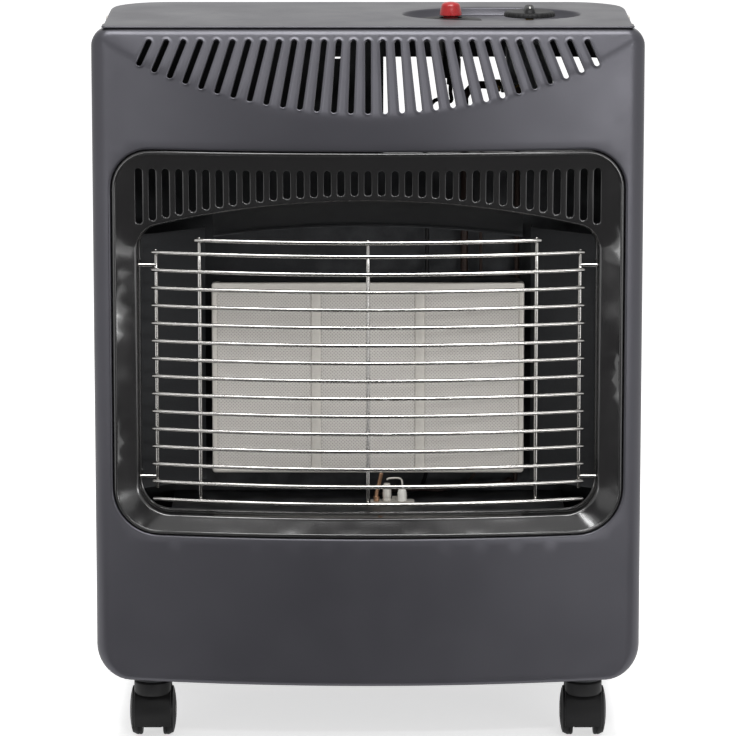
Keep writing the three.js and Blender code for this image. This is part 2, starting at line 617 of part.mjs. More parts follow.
// Points round an outline with an arched top, always the same number in the same order.
function archedOutline({ half, bottom, top, arch, bottomCorner, topCorner }, inset) {
  const w = half - inset;
  const rb = Math.max(bottomCorner - inset, LEAST_CORNER);
  const rt = Math.max(topCorner - inset, LEAST_CORNER);
  const archRadius = arch - inset;
  const archCentre = top - arch;
  const cornerX = w - rt;
  const cornerZ = archCentre + Math.sqrt((archRadius - rt) ** 2 - cornerX ** 2);
  const cornerEnd = Math.atan2(cornerZ - archCentre, cornerX);
  const floor = bottom + inset;
  const points = [];
  const addArc = (cx, cz, radius, from, to, steps) => {
    for (let i = 0; i <= steps; i += 1) {
      const angle = from + (to - from) * (i / steps);
      points.push(new THREE.Vector2(cx + radius * Math.cos(angle), cz + radius * Math.sin(angle)));
    }
  };
  addArc(w - rb, floor + rb, rb, -Math.PI / 2, 0, CORNER_STEPS);
  addArc(cornerX, cornerZ, rt, 0, cornerEnd, CORNER_STEPS);
  for (let i = 1; i < TOP_EDGE_STEPS; i += 1) {
    const angle = cornerEnd + (Math.PI - 2 * cornerEnd) * (i / TOP_EDGE_STEPS);
    points.push(new THREE.Vector2(archRadius * Math.cos(angle), archCentre + archRadius * Math.sin(angle)));
  }
  addArc(-cornerX, cornerZ, rt, Math.PI - cornerEnd, Math.PI, CORNER_STEPS);
  addArc(rb - w, floor + rb, rb, Math.PI, 1.5 * Math.PI, CORNER_STEPS);
  for (let i = 1; i < TOP_EDGE_STEPS; i += 1) {
    points.push(new THREE.Vector2((w - rb) * ((2 * i) / TOP_EDGE_STEPS - 1), floor));
  }
  return points;
}

const SURROUND_OUTLINE = {
  half: SURROUND_WIDTH / 2,
  bottom: SURROUND_BOTTOM,
  top: SURROUND_TOP,
  arch: NO_ARCH,
  bottomCorner: SURROUND_BOTTOM_CORNER,
  topCorner: SURROUND_TOP_CORNER,
};
const WINDOW_OUTLINE = {
  half: WINDOW_WIDTH / 2,
  bottom: WINDOW_BOTTOM,
  top: WINDOW_TOP,
  arch: WINDOW_ARCH,
  bottomCorner: WINDOW_BOTTOM_CORNER,
  topCorner: WINDOW_TOP_CORNER,
};

const surroundShape = (inset) => new THREE.Shape(archedOutline(SURROUND_OUTLINE, inset));
const windowArchAt = (x) => WINDOW_TOP - WINDOW_ARCH + Math.sqrt(WINDOW_ARCH ** 2 - x ** 2);

// An outline laid on the bow of the front, at a depth behind it.
function onBow(points, depth) {
  return points.map(({ x, y }) => new THREE.Vector3(x, behind(bowAt(x) + depth), y));
}

function grilleSlot(place) {
  const x = GRILLE_PITCH * place;
  const low = windowArchAt(x) + GRILLE_FOOT_MARGIN;
  return prismY(capsule(x, low, GRILLE_TOP, GRILLE_SLOT), FRONT - SHEET, behind(FRONT_DEPTH), 1);
}

function burnerSurround() {
  const outer = (inset) => archedOutline(SURROUND_OUTLINE, inset);
  const window = (inset) => archedOutline(WINDOW_OUTLINE, inset);
  const crown = 0.4 * BEAD_WIDTH;
  const rings = [
    onBow(outer(0), SURROUND_RIM),
    onBow(outer(0), SURROUND_SHEET),
    onBow(outer(crown), BEAD_TOP),
    onBow(outer(BEAD_WIDTH), SURROUND_SHEET),
    onBow(window(0), LAND_DROP),
    onBow(window(0), WINDOW_WALL),
    onBow(window(-SURROUND_SHEET), WINDOW_WALL),
    onBow(window(-SURROUND_SHEET), LAND_DROP + SURROUND_SHEET),
    onBow(outer(BEAD_WIDTH), 2 * SURROUND_SHEET),
    onBow(outer(SURROUND_SHEET), SURROUND_RIM),
  ];
  const slots = [];
  for (let place = -GRILLE_PAIRS; place <= GRILLE_PAIRS; place += 1) {
    slots.push(grilleSlot(place));
  }
  return meshFrom('burner_surround', ringLoft(rings).subtract(union(slots)), BLACK_ENAMEL());
}

// ---- Wire guard: bowed wires welded to upright ones ----

const guardRadius = GUARD_WIRE / 2;
const guardBowRadius = (GUARD_HALF_SPAN ** 2 + GUARD_SAG ** 2) / (2 * GUARD_SAG);
const guardDepth = (x) => GUARD_SET_BACK + guardBowRadius - Math.sqrt(guardBowRadius ** 2 - x ** 2);
function bowedWire(halfSpan, height) {
  const points = [];
  const steps = 6;
  for (let i = 0; i <= steps; i += 1) {
    const x = halfSpan * ((2 * i) / steps - 1);
    points.push([x, behind(guardDepth(x)), height]);
  }
  return wire(points, guardRadius, steps, 5);
}

function uprightWire(x, low, high) {
  const y = behind(guardDepth(x) + GUARD_WIRE - GUARD_WELD);
  return bar('z', [x, y, (low + high) / 2], guardRadius, high - low, 5);
}

function wireGuard() {
  const wires = [];
  const pitch = (GUARD_TOP - GUARD_BOTTOM) / (GUARD_ROWS - 1);
  for (let row = 0; row < GUARD_ROWS; row += 1) {
    wires.push(bowedWire(GUARD_HALF_SPAN, GUARD_BOTTOM + row * pitch));
  }
  const shortWire = GUARD_TOP + GUARD_SHORT_WIRE_RISE;
  wires.push(bowedWire(GUARD_INNER_UPRIGHT + GUARD_WIRE, shortWire));
  for (const x of [-GUARD_INNER_UPRIGHT, 0, GUARD_INNER_UPRIGHT]) {
    wires.push(uprightWire(x, GUARD_BOTTOM - guardRadius, shortWire + guardRadius));
  }
  const hookHeights = [GUARD_BOTTOM + GUARD_HOOK_ROWS * pitch, GUARD_TOP - (GUARD_HOOK_ROWS - 0.5) * pitch];
  for (const side of [-1, 1]) {
    const x = side * GUARD_OUTER_UPRIGHT;
    wires.push(uprightWire(x, GUARD_BOTTOM + GUARD_HOOK_ROWS * pitch / 2, GUARD_TOP + guardRadius));
    for (const z of hookHeights) {
      const wallX = side * (WINDOW_WIDTH / 2 - SEAT_GAP);
      const y = behind(guardDepth(x) + GUARD_WIRE - GUARD_WELD);
      wires.push(bar('x', [(x + wallX) / 2, y, z], guardRadius, Math.abs(wallX - x), 5));
    }
  }
  return meshFrom('wire_guard', union(wires), CHROME_WIRE());
}

// ---- Top panel with the control dish ----

const TOP_FRONT = FACET_RUN + 1;
const CONTROL_Y = behind(DISH_BACK);

function topBody(inset) {
  const half = CABINET_WIDTH / 2 - inset;
  const rear = behind(TOP_REAR) - inset;
  const roll = TOP_ROLL - inset;
  const rearCorner = TOP_REAR_CORNER - inset;
  const front = behind(TOP_FRONT) - inset;
  const plan = roundedRectangle(-half, front, half, rear, [roll, roll, rearCorner, rearCorner]);
  const across = roundedRectangle(-half, 0, half, TOP_HEIGHT - inset, roll);
  const along = roundedRectangle(front - TOP_ROLL, 0, rear, TOP_HEIGHT - inset, roll);
  return prismZ(plan, TOP_HEIGHT - TOP_REAR_SKIRT, TOP_HEIGHT, 4)
    .intersect(prismY(across, front, rear, 2))
    .intersect(prismX(along, -half, half, 2));
}

// An oval cup wall that narrows towards its floor.
function ovalCup(length, breadth, low, high, draft) {
  const geometry = new THREE.CylinderGeometry(1, 1 - (2 * draft) / length, high - low, 28);
  geometry.rotateX(Math.PI / 2);
  geometry.scale(length / 2, breadth / 2, 1);
  geometry.translate(DISH_X, CONTROL_Y, (low + high) / 2);
  return solidFrom(geometry);
}

function topPanel() {
  const skirtCut = block(
    [-CABINET_WIDTH, FRONT - CUT_MARGIN, TOP_HEIGHT - TOP_REAR_SKIRT - CUT_MARGIN],
    [CABINET_WIDTH, behind(SKIRT_STEP), TOP_HEIGHT - TOP_SIDE_SKIRT],
  );
  const frontCut = block(
    [-CABINET_WIDTH, FRONT - CUT_MARGIN, 0],
    [CABINET_WIDTH, FRONT_REAR + SEAT_GAP, TOP_HEIGHT - SHEET],
  );
  const under = DISH_FLOOR - SHEET;
  const cup = ovalCup(DISH_LENGTH + 2 * SHEET, DISH_BREADTH + 2 * SHEET, under, TOP_HEIGHT - SHEET / 2, DISH_DRAFT);
  const hollow = ovalCup(DISH_LENGTH, DISH_BREADTH, DISH_FLOOR, TOP_HEIGHT + SHEET, DISH_DRAFT);
  const spindleHole = bar('z', [KNOB_X, CONTROL_Y, DISH_FLOOR], PLUNGER_RADIUS + 2 * SLIDING_CLEARANCE, 4 * SHEET);
  const buttonHole = bar('z', [BUTTON_X, CONTROL_Y, DISH_FLOOR], BUTTON_RADIUS + 2 * SLIDING_CLEARANCE, 4 * SHEET);
  const solid = topBody(0)
    .subtract(topBody(SHEET))
    .subtract(skirtCut.add(frontCut))
    .add(cup)
    .subtract(union([hollow, spindleHole, buttonHole]));
  return meshFrom('top_panel', solid, GRAPHITE_PAINT());
}

// ---- Sides, base, rear cover and heat shield ----

const SIDE_INNER = CABINET_WIDTH / 2 - SHEET;
const BASE_HALF = SIDE_INNER - SEAT_GAP;
const SIDE_FRONT = FRONT_REAR + SEAT_GAP;
const SIDE_REAR = behind(DEPTH - COVER_DEPTH);

// A side stands full height at the front and sweeps down to the rear behind the top.
function sidePanel(name, side) {
  const skirt = TOP_HEIGHT - TOP_REAR_SKIRT - SEAT_GAP;
  const shape = new THREE.Shape();
  shape.moveTo(SIDE_FRONT, BASE_UNDERSIDE);
  shape.lineTo(SIDE_FRONT, TOP_HEIGHT - TOP_SIDE_SKIRT - SEAT_GAP);
  shape.lineTo(behind(SKIRT_STEP) - SEAT_GAP, TOP_HEIGHT - TOP_SIDE_SKIRT - SEAT_GAP);
  shape.lineTo(behind(SKIRT_STEP) - SEAT_GAP, skirt);
  const sweepStart = behind(TOP_REAR - TOP_REAR_CORNER);
  const sweepEnd = SIDE_REAR;
  const middle = (sweepStart + sweepEnd) / 2;
  shape.lineTo(sweepStart, skirt);
  shape.bezierCurveTo(middle, skirt, middle, SIDE_REAR_HEIGHT, sweepEnd, SIDE_REAR_HEIGHT);
  shape.lineTo(sweepEnd, BASE_UNDERSIDE);
  const wall = prismX(shape, SIDE_INNER, CABINET_WIDTH / 2, 14);
  const flange = block(
    [CABINET_WIDTH / 2 - SIDE_FLANGE, SIDE_FRONT, BASE_TOP + SEAT_GAP],
    [CABINET_WIDTH / 2, SIDE_FRONT + SHEET, TOP_HEIGHT - TOP_SIDE_SKIRT - SEAT_GAP],
  );
  const solid = wall.add(flange);
  return meshFrom(name, side < 0 ? solid.mirror([1, 0, 0]) : solid, GRAPHITE_PAINT());
}

// Plan of the cabinet's rear with its two rounded upright corners.
function rearPlan(half, front, rear, corner) {
  const shape = new THREE.Shape();
  shape.moveTo(-half, front);
  shape.lineTo(half, front);
  shape.lineTo(half, rear - corner);
  shape.absarc(half - corner, rear - corner, corner, 0, Math.PI / 2, false);
  shape.absarc(corner - half, rear - corner, corner, Math.PI / 2, Math.PI, false);
  return shape;
}

function basePanel() {
  const trayFront = SIDE_FRONT + SHEET + SEAT_GAP;
  const trayRear = behind(DEPTH) - SHEET - SEAT_GAP;
  const corner = COVER_CORNER - SHEET - SEAT_GAP;
  const tray = prismZ(rearPlan(BASE_HALF, trayFront, trayRear, corner), BASE_UNDERSIDE, BASE_EDGE, 3);
  const hollow = rearPlan(BASE_HALF - SHEET, trayFront + SHEET, trayRear - SHEET, corner - SHEET);
  const tongueRear = trayFront + CUT_MARGIN;
  const tongue = block([-BASE_HALF, behind(BASE_FRONT), BASE_UNDERSIDE], [BASE_HALF, tongueRear, BASE_TOP]);
  const padFront = behind(SHIELD_BACK) + SHEET + PAD_MARGIN;
  const padRear = trayRear - SHEET - PAD_MARGIN;
  const pad = (inset) => {
    const half = PAD_HALF_WIDTH - inset;
    return roundedRectangle(-half, padFront + inset, half, padRear - inset, COVER_CORNER - inset);
  };
  const raised = prismZ(pad(0), BASE_UNDERSIDE, PAD_TOP, 2);
  const recess = prismZ(pad(SHEET), BASE_UNDERSIDE - CUT_MARGIN, PAD_TOP - SHEET, 2);
  const cuts = [recess];
  for (const side of [-1, 1]) {
    for (let i = 0; i < BASE_VENTS; i += 1) {
      const x = (side * PAD_HALF_WIDTH) / 2;
      const y = (padFront + padRear) / 2 + (i - (BASE_VENTS - 1) / 2) * BASE_VENT_PITCH;
      const vent = levelSlot(x - BASE_VENT_LENGTH / 2, x + BASE_VENT_LENGTH / 2, y, BASE_VENT_WIDTH);
      cuts.push(prismZ(vent, BASE_UNDERSIDE - CUT_MARGIN, PAD_TOP + CUT_MARGIN, 1));
    }
  }
  const solid = tray.subtract(prismZ(hollow, BASE_TOP, BASE_EDGE + SHEET, 3)).add(tongue.add(raised));
  return meshFrom('base_panel', solid.subtract(union(cuts)), GRAPHITE_PAINT());
}

function rearCover() {
  const half = CABINET_WIDTH / 2;
  const front = SIDE_REAR + SEAT_GAP;
  const rear = behind(DEPTH);
  const low = BASE_UNDERSIDE;
  const high = SIDE_REAR_HEIGHT;
  const ring = (inset, from, to) => {
    const ringFront = inset > 0 ? front - COVER_LEDGE : front;
    return prismZ(rearPlan(half - inset, ringFront, rear - inset, COVER_CORNER - inset), from, to, 3);
  };
  const walls = ring(0, low, high).subtract(ring(SHEET, low - CUT_MARGIN, high + CUT_MARGIN));
  const ledgeLow = BASE_EDGE + SEAT_GAP;
  const ledgeHigh = ledgeLow + SHEET;
  const ledge = ring(0, ledgeLow, ledgeHigh).subtract(ring(COVER_LEDGE, ledgeLow - CUT_MARGIN, ledgeHigh + CUT_MARGIN));
  const rim = ring(0, high - SHEET, high).subtract(ring(COVER_RIM, high - 2 * SHEET, high + CUT_MARGIN));
  const tongues = [-1, 1].flatMap((side) => TONGUE_HEIGHTS.map((foot) => coverTongue(side, front, foot)));
  const slots = [];
  for (const x of [-COVER_LOUVRE_X, COVER_LOUVRE_X]) {
    for (let i = 0; i < COVER_LOUVRES; i += 1) {
      const z = high - COVER_LOUVRE_DROP - i * COVER_LOUVRE_PITCH;
      const slot = levelSlot(x - COVER_LOUVRE_LENGTH / 2, x + COVER_LOUVRE_LENGTH / 2, z, COVER_LOUVRE_WIDTH);
      slots.push(prismY(slot, rear - 2 * SHEET, rear + CUT_MARGIN, 1));
    }
  }
  return meshFrom('rear_cover', union([walls, ledge, rim, ...tongues]).subtract(union(slots)), GRAPHITE_PAINT());
}

// A tongue on the cover's wall that reaches forward inside the side panel.
function coverTongue(side, front, foot) {
  const outer = SIDE_INNER - SEAT_GAP;
  const inner = outer - SHEET;
  const weld = SIDE_INNER + SEAT_GAP / 2;
  const tongue = block([inner, front - TONGUE_REACH, foot], [outer, front + TONGUE_WELD, foot + TONGUE_HEIGHT]);
  const step = block([inner, front + TONGUE_STEP, foot], [weld, front + TONGUE_WELD, foot + TONGUE_HEIGHT]);
  const solid = tongue.add(step);
  return side < 0 ? solid.mirror([1, 0, 0]) : solid;
}

const SHIELD_HIGH = TOP_HEIGHT - SHIELD_HIGH_DROP;
const SHIELD_LOW = VALVE_BOTTOM - SHIELD_LOW_DROP;

function heatShield() {
  const face = behind(SHIELD_BACK);
  const low = BASE_TOP + SEAT_GAP;
  const narrow = BASE_HALF - SHEET - SEAT_GAP;
  const wide = SIDE_INNER - SEAT_GAP;
  const flangeFoot = BASE_EDGE + 3 * SEAT_GAP;
  const shape = new THREE.Shape();
  shape.moveTo(-narrow, low);
  shape.lineTo(narrow, low);
  shape.lineTo(narrow, flangeFoot);
  shape.lineTo(wide, flangeFoot);
  shape.lineTo(wide, SHIELD_LOW);
  shape.lineTo(SHIELD_STEP_X, SHIELD_LOW);
  shape.lineTo(SHIELD_STEP_X, SHIELD_HIGH);
  shape.lineTo(-wide, SHIELD_HIGH);
  shape.lineTo(-wide, flangeFoot);
  shape.lineTo(-narrow, flangeFoot);
  const plate = prismY(shape, face, face + SHEET);
  const flangeRear = face + SIDE_FLANGE;
  const relief = flangeFoot + SHEET;
  const leftFlange = block([-wide, face, relief], [SHEET - wide, flangeRear, SHIELD_HIGH - SHEET]);
  const rightFlange = block([wide - SHEET, face, relief], [wide, flangeRear, SHIELD_LOW - SHEET]);
  const [holeX, holeRise] = SHIELD_HOLE;
  const [slotX, slotRise] = SHIELD_SLOT;
  const hole = bar('y', [holeX, face, SHIELD_HIGH + holeRise], SHIELD_HOLE_RADIUS, 4 * SHEET, 12);
  const slotShape = levelSlot(
    slotX - SHIELD_SLOT_LENGTH / 2,
    slotX + SHIELD_SLOT_LENGTH / 2,
    SHIELD_HIGH + slotRise,
    SHIELD_SLOT_WIDTH,
  );
  const slot = prismY(slotShape, face - SHEET, face + 2 * SHEET, 2);
  const solid = union([plate, leftFlange, rightFlange]);
  return meshFrom('heat_shield', solid.subtract(hole.add(slot)), DARK_STEEL());
}

// ---- Reflectors and flue hood round the burner ----

const WALL_REAR = WINDOW_WALL + SEAT_GAP; // where the reflectors meet the window's wall
const REFLECTOR_FLOOR = WINDOW_BOTTOM - SEAT_GAP;

function flueHood() {
  const lipAt = (x) => HOOD_LIP_HEIGHT - HOOD_LIP_ARCH + Math.sqrt(HOOD_LIP_ARCH ** 2 - x ** 2);
  const pointAt = (u, v) => {
    const x = HOOD_HALF_WIDTH * (2 * u - 1);
    const depth = THREE.MathUtils.lerp(WALL_REAR, HOOD_LIP_BACK, v);
    const fall = v ** 1.5;
    const z = THREE.MathUtils.lerp(windowArchAt(x), lipAt(x), fall);
    return [x, behind(bowAt(x) + depth), z];
  };
  return meshFrom('flue_hood', sheet(pointAt, 10, 3, [0, 0, SHEET]), DARK_STEEL());
}

function sideReflector(name, side) {
  const outerX = WINDOW_WIDTH / 2 + SURROUND_SHEET;
  const outerY = behind(bowAt(outerX) + WALL_REAR);
  const innerY = behind(REFLECTOR_INNER_BACK);
  const shape = new THREE.Shape();
  shape.moveTo(outerX, outerY);
  shape.lineTo(outerX - SHEET, outerY);
  shape.quadraticCurveTo(outerX - REFLECTOR_BEND, outerY + REFLECTOR_BEND / 2, REFLECTOR_INNER_X, innerY - SHEET);
  shape.lineTo(REFLECTOR_INNER_X, innerY + SIDE_FLANGE);
  shape.lineTo(REFLECTOR_INNER_X + SHEET, innerY + SIDE_FLANGE);
  shape.lineTo(REFLECTOR_INNER_X + SHEET, innerY);
  shape.quadraticCurveTo(
    outerX - REFLECTOR_BEND + 1,
    outerY + REFLECTOR_BEND / 2 + 3,
    outerX,
    outerY + 1.5 * SHEET,
  );
  const solid = prismZ(shape, REFLECTOR_BOTTOM, REFLECTOR_TOP, 5);
  return meshFrom(name, side < 0 ? solid.mirror([1, 0, 0]) : solid, DARK_STEEL());
}

function bottomReflector() {
  const half = WINDOW_WIDTH / 2 - WINDOW_BOTTOM_CORNER;
  const rear = SHIELD_BACK - SEAT_GAP;
  const pointAt = (u, v) => {
    const x = half * (2 * u - 1);
    return [x, behind(THREE.MathUtils.lerp(bowAt(x) + WALL_REAR, rear, v)), REFLECTOR_FLOOR - SHEET];
  };
  return meshFrom('bottom_reflector', sheet(pointAt, 12, 1, [0, 0, SHEET]), DARK_STEEL());
}

// ---- Burner: three ceramic plaques in a housing behind a pressed frame ----

const PLAQUE_PLACES = { left_plaque: -1, centre_plaque: 0, right_plaque: 1 };
const PLAQUE_FACE = BURNER_FACE + SHEET + SEAT_GAP;
const PLAQUE_LOW = BURNER_BOTTOM + FRAME_FOOT;
const HOUSING_HALF = PLAQUE_PITCH + PLAQUE_WIDTH / 2 + HOUSING_MARGIN;
const HOUSING_REAR = PLAQUE_FACE + HOUSING_DEPTH;

function plaque(name, place) {
  const x = place * PLAQUE_PITCH;
  const half = PLAQUE_WIDTH / 2;
  const outline = roundedRectangle(x - half, PLAQUE_LOW, x + half, PLAQUE_LOW + PLAQUE_HEIGHT, 1);
  const face = behind(PLAQUE_FACE);
  return meshFrom(name, prismY(outline, face, face + PLAQUE_THICKNESS, 1), CERAMIC());
}

function burnerFrame() {
  const outline = roundedRectangle(-HOUSING_HALF, BURNER_BOTTOM, HOUSING_HALF, BURNER_TOP, 2);
  const face = behind(BURNER_FACE);
  const plate = prismY(outline, face, face + SHEET, 2);
  const windows = Object.values(PLAQUE_PLACES).map((place) => {
    const x = place * PLAQUE_PITCH;
    const half = PLAQUE_WIDTH / 2 - FRAME_LAP;
    const low = PLAQUE_LOW + FRAME_LAP;
    const window = roundedRectangle(x - half, low, x + half, low + PLAQUE_HEIGHT - 2 * FRAME_LAP, 1);
    return prismY(window, face - 1, face + SHEET + 1, 1);
  });
  return meshFrom('burner_frame', plate.subtract(union(windows)), BRIGHT_STEEL());
}

function burnerHousing() {
  const front = behind(PLAQUE_FACE);
  const rear = behind(HOUSING_REAR);
  const cavityHalf = HOUSING_HALF - HOUSING_MARGIN + SEAT_GAP;
  const cavityLow = PLAQUE_LOW - SEAT_GAP;
  const cavityHigh = PLAQUE_LOW + PLAQUE_HEIGHT + SEAT_GAP;
  const body = prismY(roundedRectangle(-HOUSING_HALF, BURNER_BOTTOM, HOUSING_HALF, BURNER_TOP, 6), front, rear, 2);
  const cavity = block([-cavityHalf, front - 1, cavityLow], [cavityHalf, front + PLAQUE_THICKNESS, cavityHigh]);
  const plenum = block(
    [-cavityHalf + HOUSING_WALL, front, cavityLow + HOUSING_WALL],
    [cavityHalf - HOUSING_WALL, rear - 2 * SHEET, cavityHigh - HOUSING_WALL],
  );
  return meshFrom('burner_housing', body.subtract(cavity.add(plenum)), DARK_STEEL());
}

// A channel that carries the burner housing on the heat shield.
function burnerBracket(name, x) {
  const front = behind(HOUSING_REAR) + SEAT_GAP;
  const rear = behind(SHIELD_BACK) - SEAT_GAP;
  const low = BURNER_BOTTOM + BRACKET_INSET;
  const high = BURNER_TOP - BRACKET_INSET;
  const half = BRACKET_WIDTH / 2;
  const web = block([x - half, front, low], [x - half + SHEET, rear, high]);
  const feet = [front, rear - SHEET].map((y) => block([x - half, y, low], [x + half, y + SHEET, high]));
  return meshFrom(name, union([web, ...feet]), DARK_STEEL());
}

// ---- Gas valve, knob and igniter under the dish ----

const PORT_HEIGHT = VALVE_BOTTOM + PORT_RISE;
const INLET_HEIGHT = VALVE_BOTTOM + INLET_RISE;
const PLUNGER_FOOT = VALVE_TOP - PLUNGER_REACH;
const SPINDLE_FOOT = PLUNGER_FOOT - SPINDLE_REACH;
const KNOB_FOOT = DISH_FLOOR + VALVE_PUSH + SEAT_GAP;
const KNOB_TOP = KNOB_FOOT + KNOB_HEIGHT;
const SPINDLE_TOP = KNOB_TOP - SPINDLE_SET_IN;
const SIDE_PORT_X = KNOB_X - VALVE_HALF_WIDTH - PORT_REACH;
const PILOT_PORT_X = KNOB_X - PILOT_PORT_OFFSET;
const FRONT_PORT_Y = CONTROL_Y - VALVE_HALF_DEPTH - PORT_REACH;
const REAR_PORT_Y = CONTROL_Y + VALVE_HALF_DEPTH + PORT_REACH;

// A square with rounded corners round the spindle.
function squareAroundKnob(halfX, halfY, corner) {
  return roundedRectangle(KNOB_X - halfX, CONTROL_Y - halfY, KNOB_X + halfX, CONTROL_Y + halfY, corner);
}

function gasValveBody() {
  const x = KNOB_X;
  const y = CONTROL_Y;
  const outline = squareAroundKnob(VALVE_HALF_WIDTH, VALVE_HALF_DEPTH, VALVE_CORNER);
  const cap = squareAroundKnob(VALVE_CAP_HALF, VALVE_CAP_HALF, VALVE_CORNER - 1);
  const bossTop = DISH_UNDERSIDE - SEAT_GAP;
  const boss = barBetween('z', [x, y, VALVE_TOP - CUT_MARGIN], [x, y, bossTop], VALVE_BOSS_RADIUS, 16);
  const sidePort = barBetween('x', [x, y, PORT_HEIGHT], [SIDE_PORT_X, y, PORT_HEIGHT], 5.5, 8);
  const frontPort = barBetween('y', [PILOT_PORT_X, y, PORT_HEIGHT], [PILOT_PORT_X, FRONT_PORT_Y, PORT_HEIGHT], 4.5, 8);
  const rearPort = barBetween('y', [x, y, INLET_HEIGHT], [x, REAR_PORT_Y, INLET_HEIGHT], 7, 8);
  const boreFloor = PLUNGER_FOOT - VALVE_PUSH - CUT_MARGIN;
  const boreRadius = PLUNGER_RADIUS + SLIDING_CLEARANCE;
  const boreCut = barBetween('z', [x, y, boreFloor], [x, y, bossTop + CUT_MARGIN], boreRadius, 16);
  const spindleFloor = SPINDLE_FOOT - VALVE_PUSH - CUT_MARGIN;
  const spindleRoom = SPINDLE_RADIUS + SLIDING_CLEARANCE;
  const spindleBore = barBetween('z', [x, y, spindleFloor], [x, y, boreFloor + CUT_MARGIN], spindleRoom, 12);
  const body = union([
    prismZ(outline, VALVE_BOTTOM + VALVE_CAP_LOW, VALVE_TOP - VALVE_CAP_HIGH, 1),
    prismZ(cap, VALVE_BOTTOM, VALVE_TOP, 1),
    boss,
    sidePort,
    frontPort,
    rearPort,
  ]);
  return meshFrom('gas_valve_body', body.subtract(boreCut.add(spindleBore)), DIE_CAST());
}

function valvePlunger() {
  const sides = 16;
  const bore = (SPINDLE_RADIUS + RUNNING_CLEARANCE) / Math.cos(Math.PI / sides);
  const top = DISH_FLOOR + SHEET;
  const profile = [
    [bore, PLUNGER_FOOT],
    [PLUNGER_RADIUS, PLUNGER_FOOT],
    [PLUNGER_RADIUS, top - 1],
    [PLUNGER_RADIUS - 1, top],
    [bore, top],
    [bore, PLUNGER_FOOT],
  ];
  return meshFrom('valve_plunger', turned(profile, KNOB_X, CONTROL_Y, sides), BRASS());
}

function valveSpindle() {
  const length = SPINDLE_TOP - SPINDLE_FOOT;
  const rod = bar('z', [KNOB_X, CONTROL_Y, SPINDLE_FOOT + length / 2], SPINDLE_RADIUS, length, 16);
  const flat = block(
    [KNOB_X + SPINDLE_RADIUS - SPINDLE_FLAT, CONTROL_Y - SPINDLE_RADIUS, KNOB_FOOT],
    [KNOB_X + SPINDLE_RADIUS + CUT_MARGIN, CONTROL_Y + SPINDLE_RADIUS, SPINDLE_TOP + CUT_MARGIN],
  );
  return meshFrom('valve_spindle', rod.subtract(flat), BRASS());
}

function controlKnob() {
  const discTop = KNOB_FOOT + KNOB_DISC;
  const profile = [
    [0, KNOB_FOOT],
    [KNOB_RADIUS, KNOB_FOOT],
    [KNOB_RADIUS - 0.6, discTop - 1.2],
    [KNOB_RADIUS - 2, discTop],
    [0, discTop],
  ];
  const disc = turned(profile, KNOB_X, CONTROL_Y, 24);
  const grip = new THREE.Shape();
  const reach = KNOB_RADIUS - GRIP_INSET;
  grip.moveTo(CONTROL_Y - reach, discTop - 1);
  grip.quadraticCurveTo(CONTROL_Y - reach + 1, KNOB_TOP, CONTROL_Y - reach + GRIP_END, KNOB_TOP);
  grip.lineTo(CONTROL_Y + reach - GRIP_END, KNOB_TOP);
  grip.quadraticCurveTo(CONTROL_Y + reach - 1, KNOB_TOP, CONTROL_Y + reach, discTop - 1);
  const gripBar = prismX(grip, KNOB_X - GRIP_WIDTH / 2, KNOB_X + GRIP_WIDTH / 2, 3);
  const socket = bar(
    'z',
    [KNOB_X, CONTROL_Y, (KNOB_FOOT + SPINDLE_TOP) / 2],
    SPINDLE_RADIUS + SLIDING_CLEARANCE,
    SPINDLE_TOP - KNOB_FOOT + 2 * SLIDING_CLEARANCE,
    16,
  );
  return meshFrom('control_knob', disc.add(gripBar).subtract(socket), BLACK_PLASTIC());
}

function igniterBezel() {
  const low = DISH_FLOOR + SEAT_GAP;
  const hole = BUTTON_RADIUS + SLIDING_CLEARANCE;
  const profile = [
    [hole, low],
    [BEZEL_RADIUS, low],
    [BEZEL_RADIUS - 1.5, low + 2],
    [BUTTON_RADIUS + BEZEL_HEIGHT, low + BEZEL_HEIGHT],
    [hole, low + BEZEL_HEIGHT],
    [hole, low],
  ];
  return meshFrom('igniter_bezel', turned(profile, BUTTON_X, CONTROL_Y, 20), BLACK_PLASTIC());
}

const BUTTON_TOP = DISH_FLOOR + BUTTON_RISE;
const BUTTON_FOOT = BUTTON_TOP - BUTTON_HEIGHT;
const IGNITER_TOP = DISH_UNDERSIDE - SEAT_GAP;
const IGNITER_BOTTOM = IGNITER_TOP - IGNITER_HEIGHT;

function igniterBody() {
  const flangeFoot = IGNITER_TOP - IGNITER_FLANGE_HEIGHT;
  const bore = BUTTON_STEM + SLIDING_CLEARANCE;
  const boreFloor = flangeFoot - 3 * BUTTON_TRAVEL;
  const tailHeight = IGNITER_BOTTOM + 5;
  const profile = [
    [0, IGNITER_BOTTOM],
    [3, IGNITER_BOTTOM],
    [3, tailHeight],
    [IGNITER_RADIUS, tailHeight + 1],
    [IGNITER_RADIUS, flangeFoot],
    [IGNITER_FLANGE, flangeFoot],
    [IGNITER_FLANGE, IGNITER_TOP],
    [bore, IGNITER_TOP],
    [bore, boreFloor],
    [0, boreFloor],
  ];
  return meshFrom('igniter_body', turned(profile, BUTTON_X, CONTROL_Y, 16), BLACK_PLASTIC());
}

function igniterButton() {
  const stemFoot = BUTTON_FOOT - 2 * BUTTON_TRAVEL;
  const profile = [
    [0, stemFoot],
    [BUTTON_STEM, stemFoot],
    [BUTTON_STEM, BUTTON_FOOT],
    [BUTTON_RADIUS, BUTTON_FOOT],
    [BUTTON_RADIUS, BUTTON_TOP - 2.5],
    [BUTTON_RADIUS - 1, BUTTON_TOP - 0.9],
    [BUTTON_RADIUS - 3.4, BUTTON_TOP],
    [0, BUTTON_TOP],
  ];
  return meshFrom('igniter_button', turned(profile, BUTTON_X, CONTROL_Y, 16), RED_PLASTIC());
}

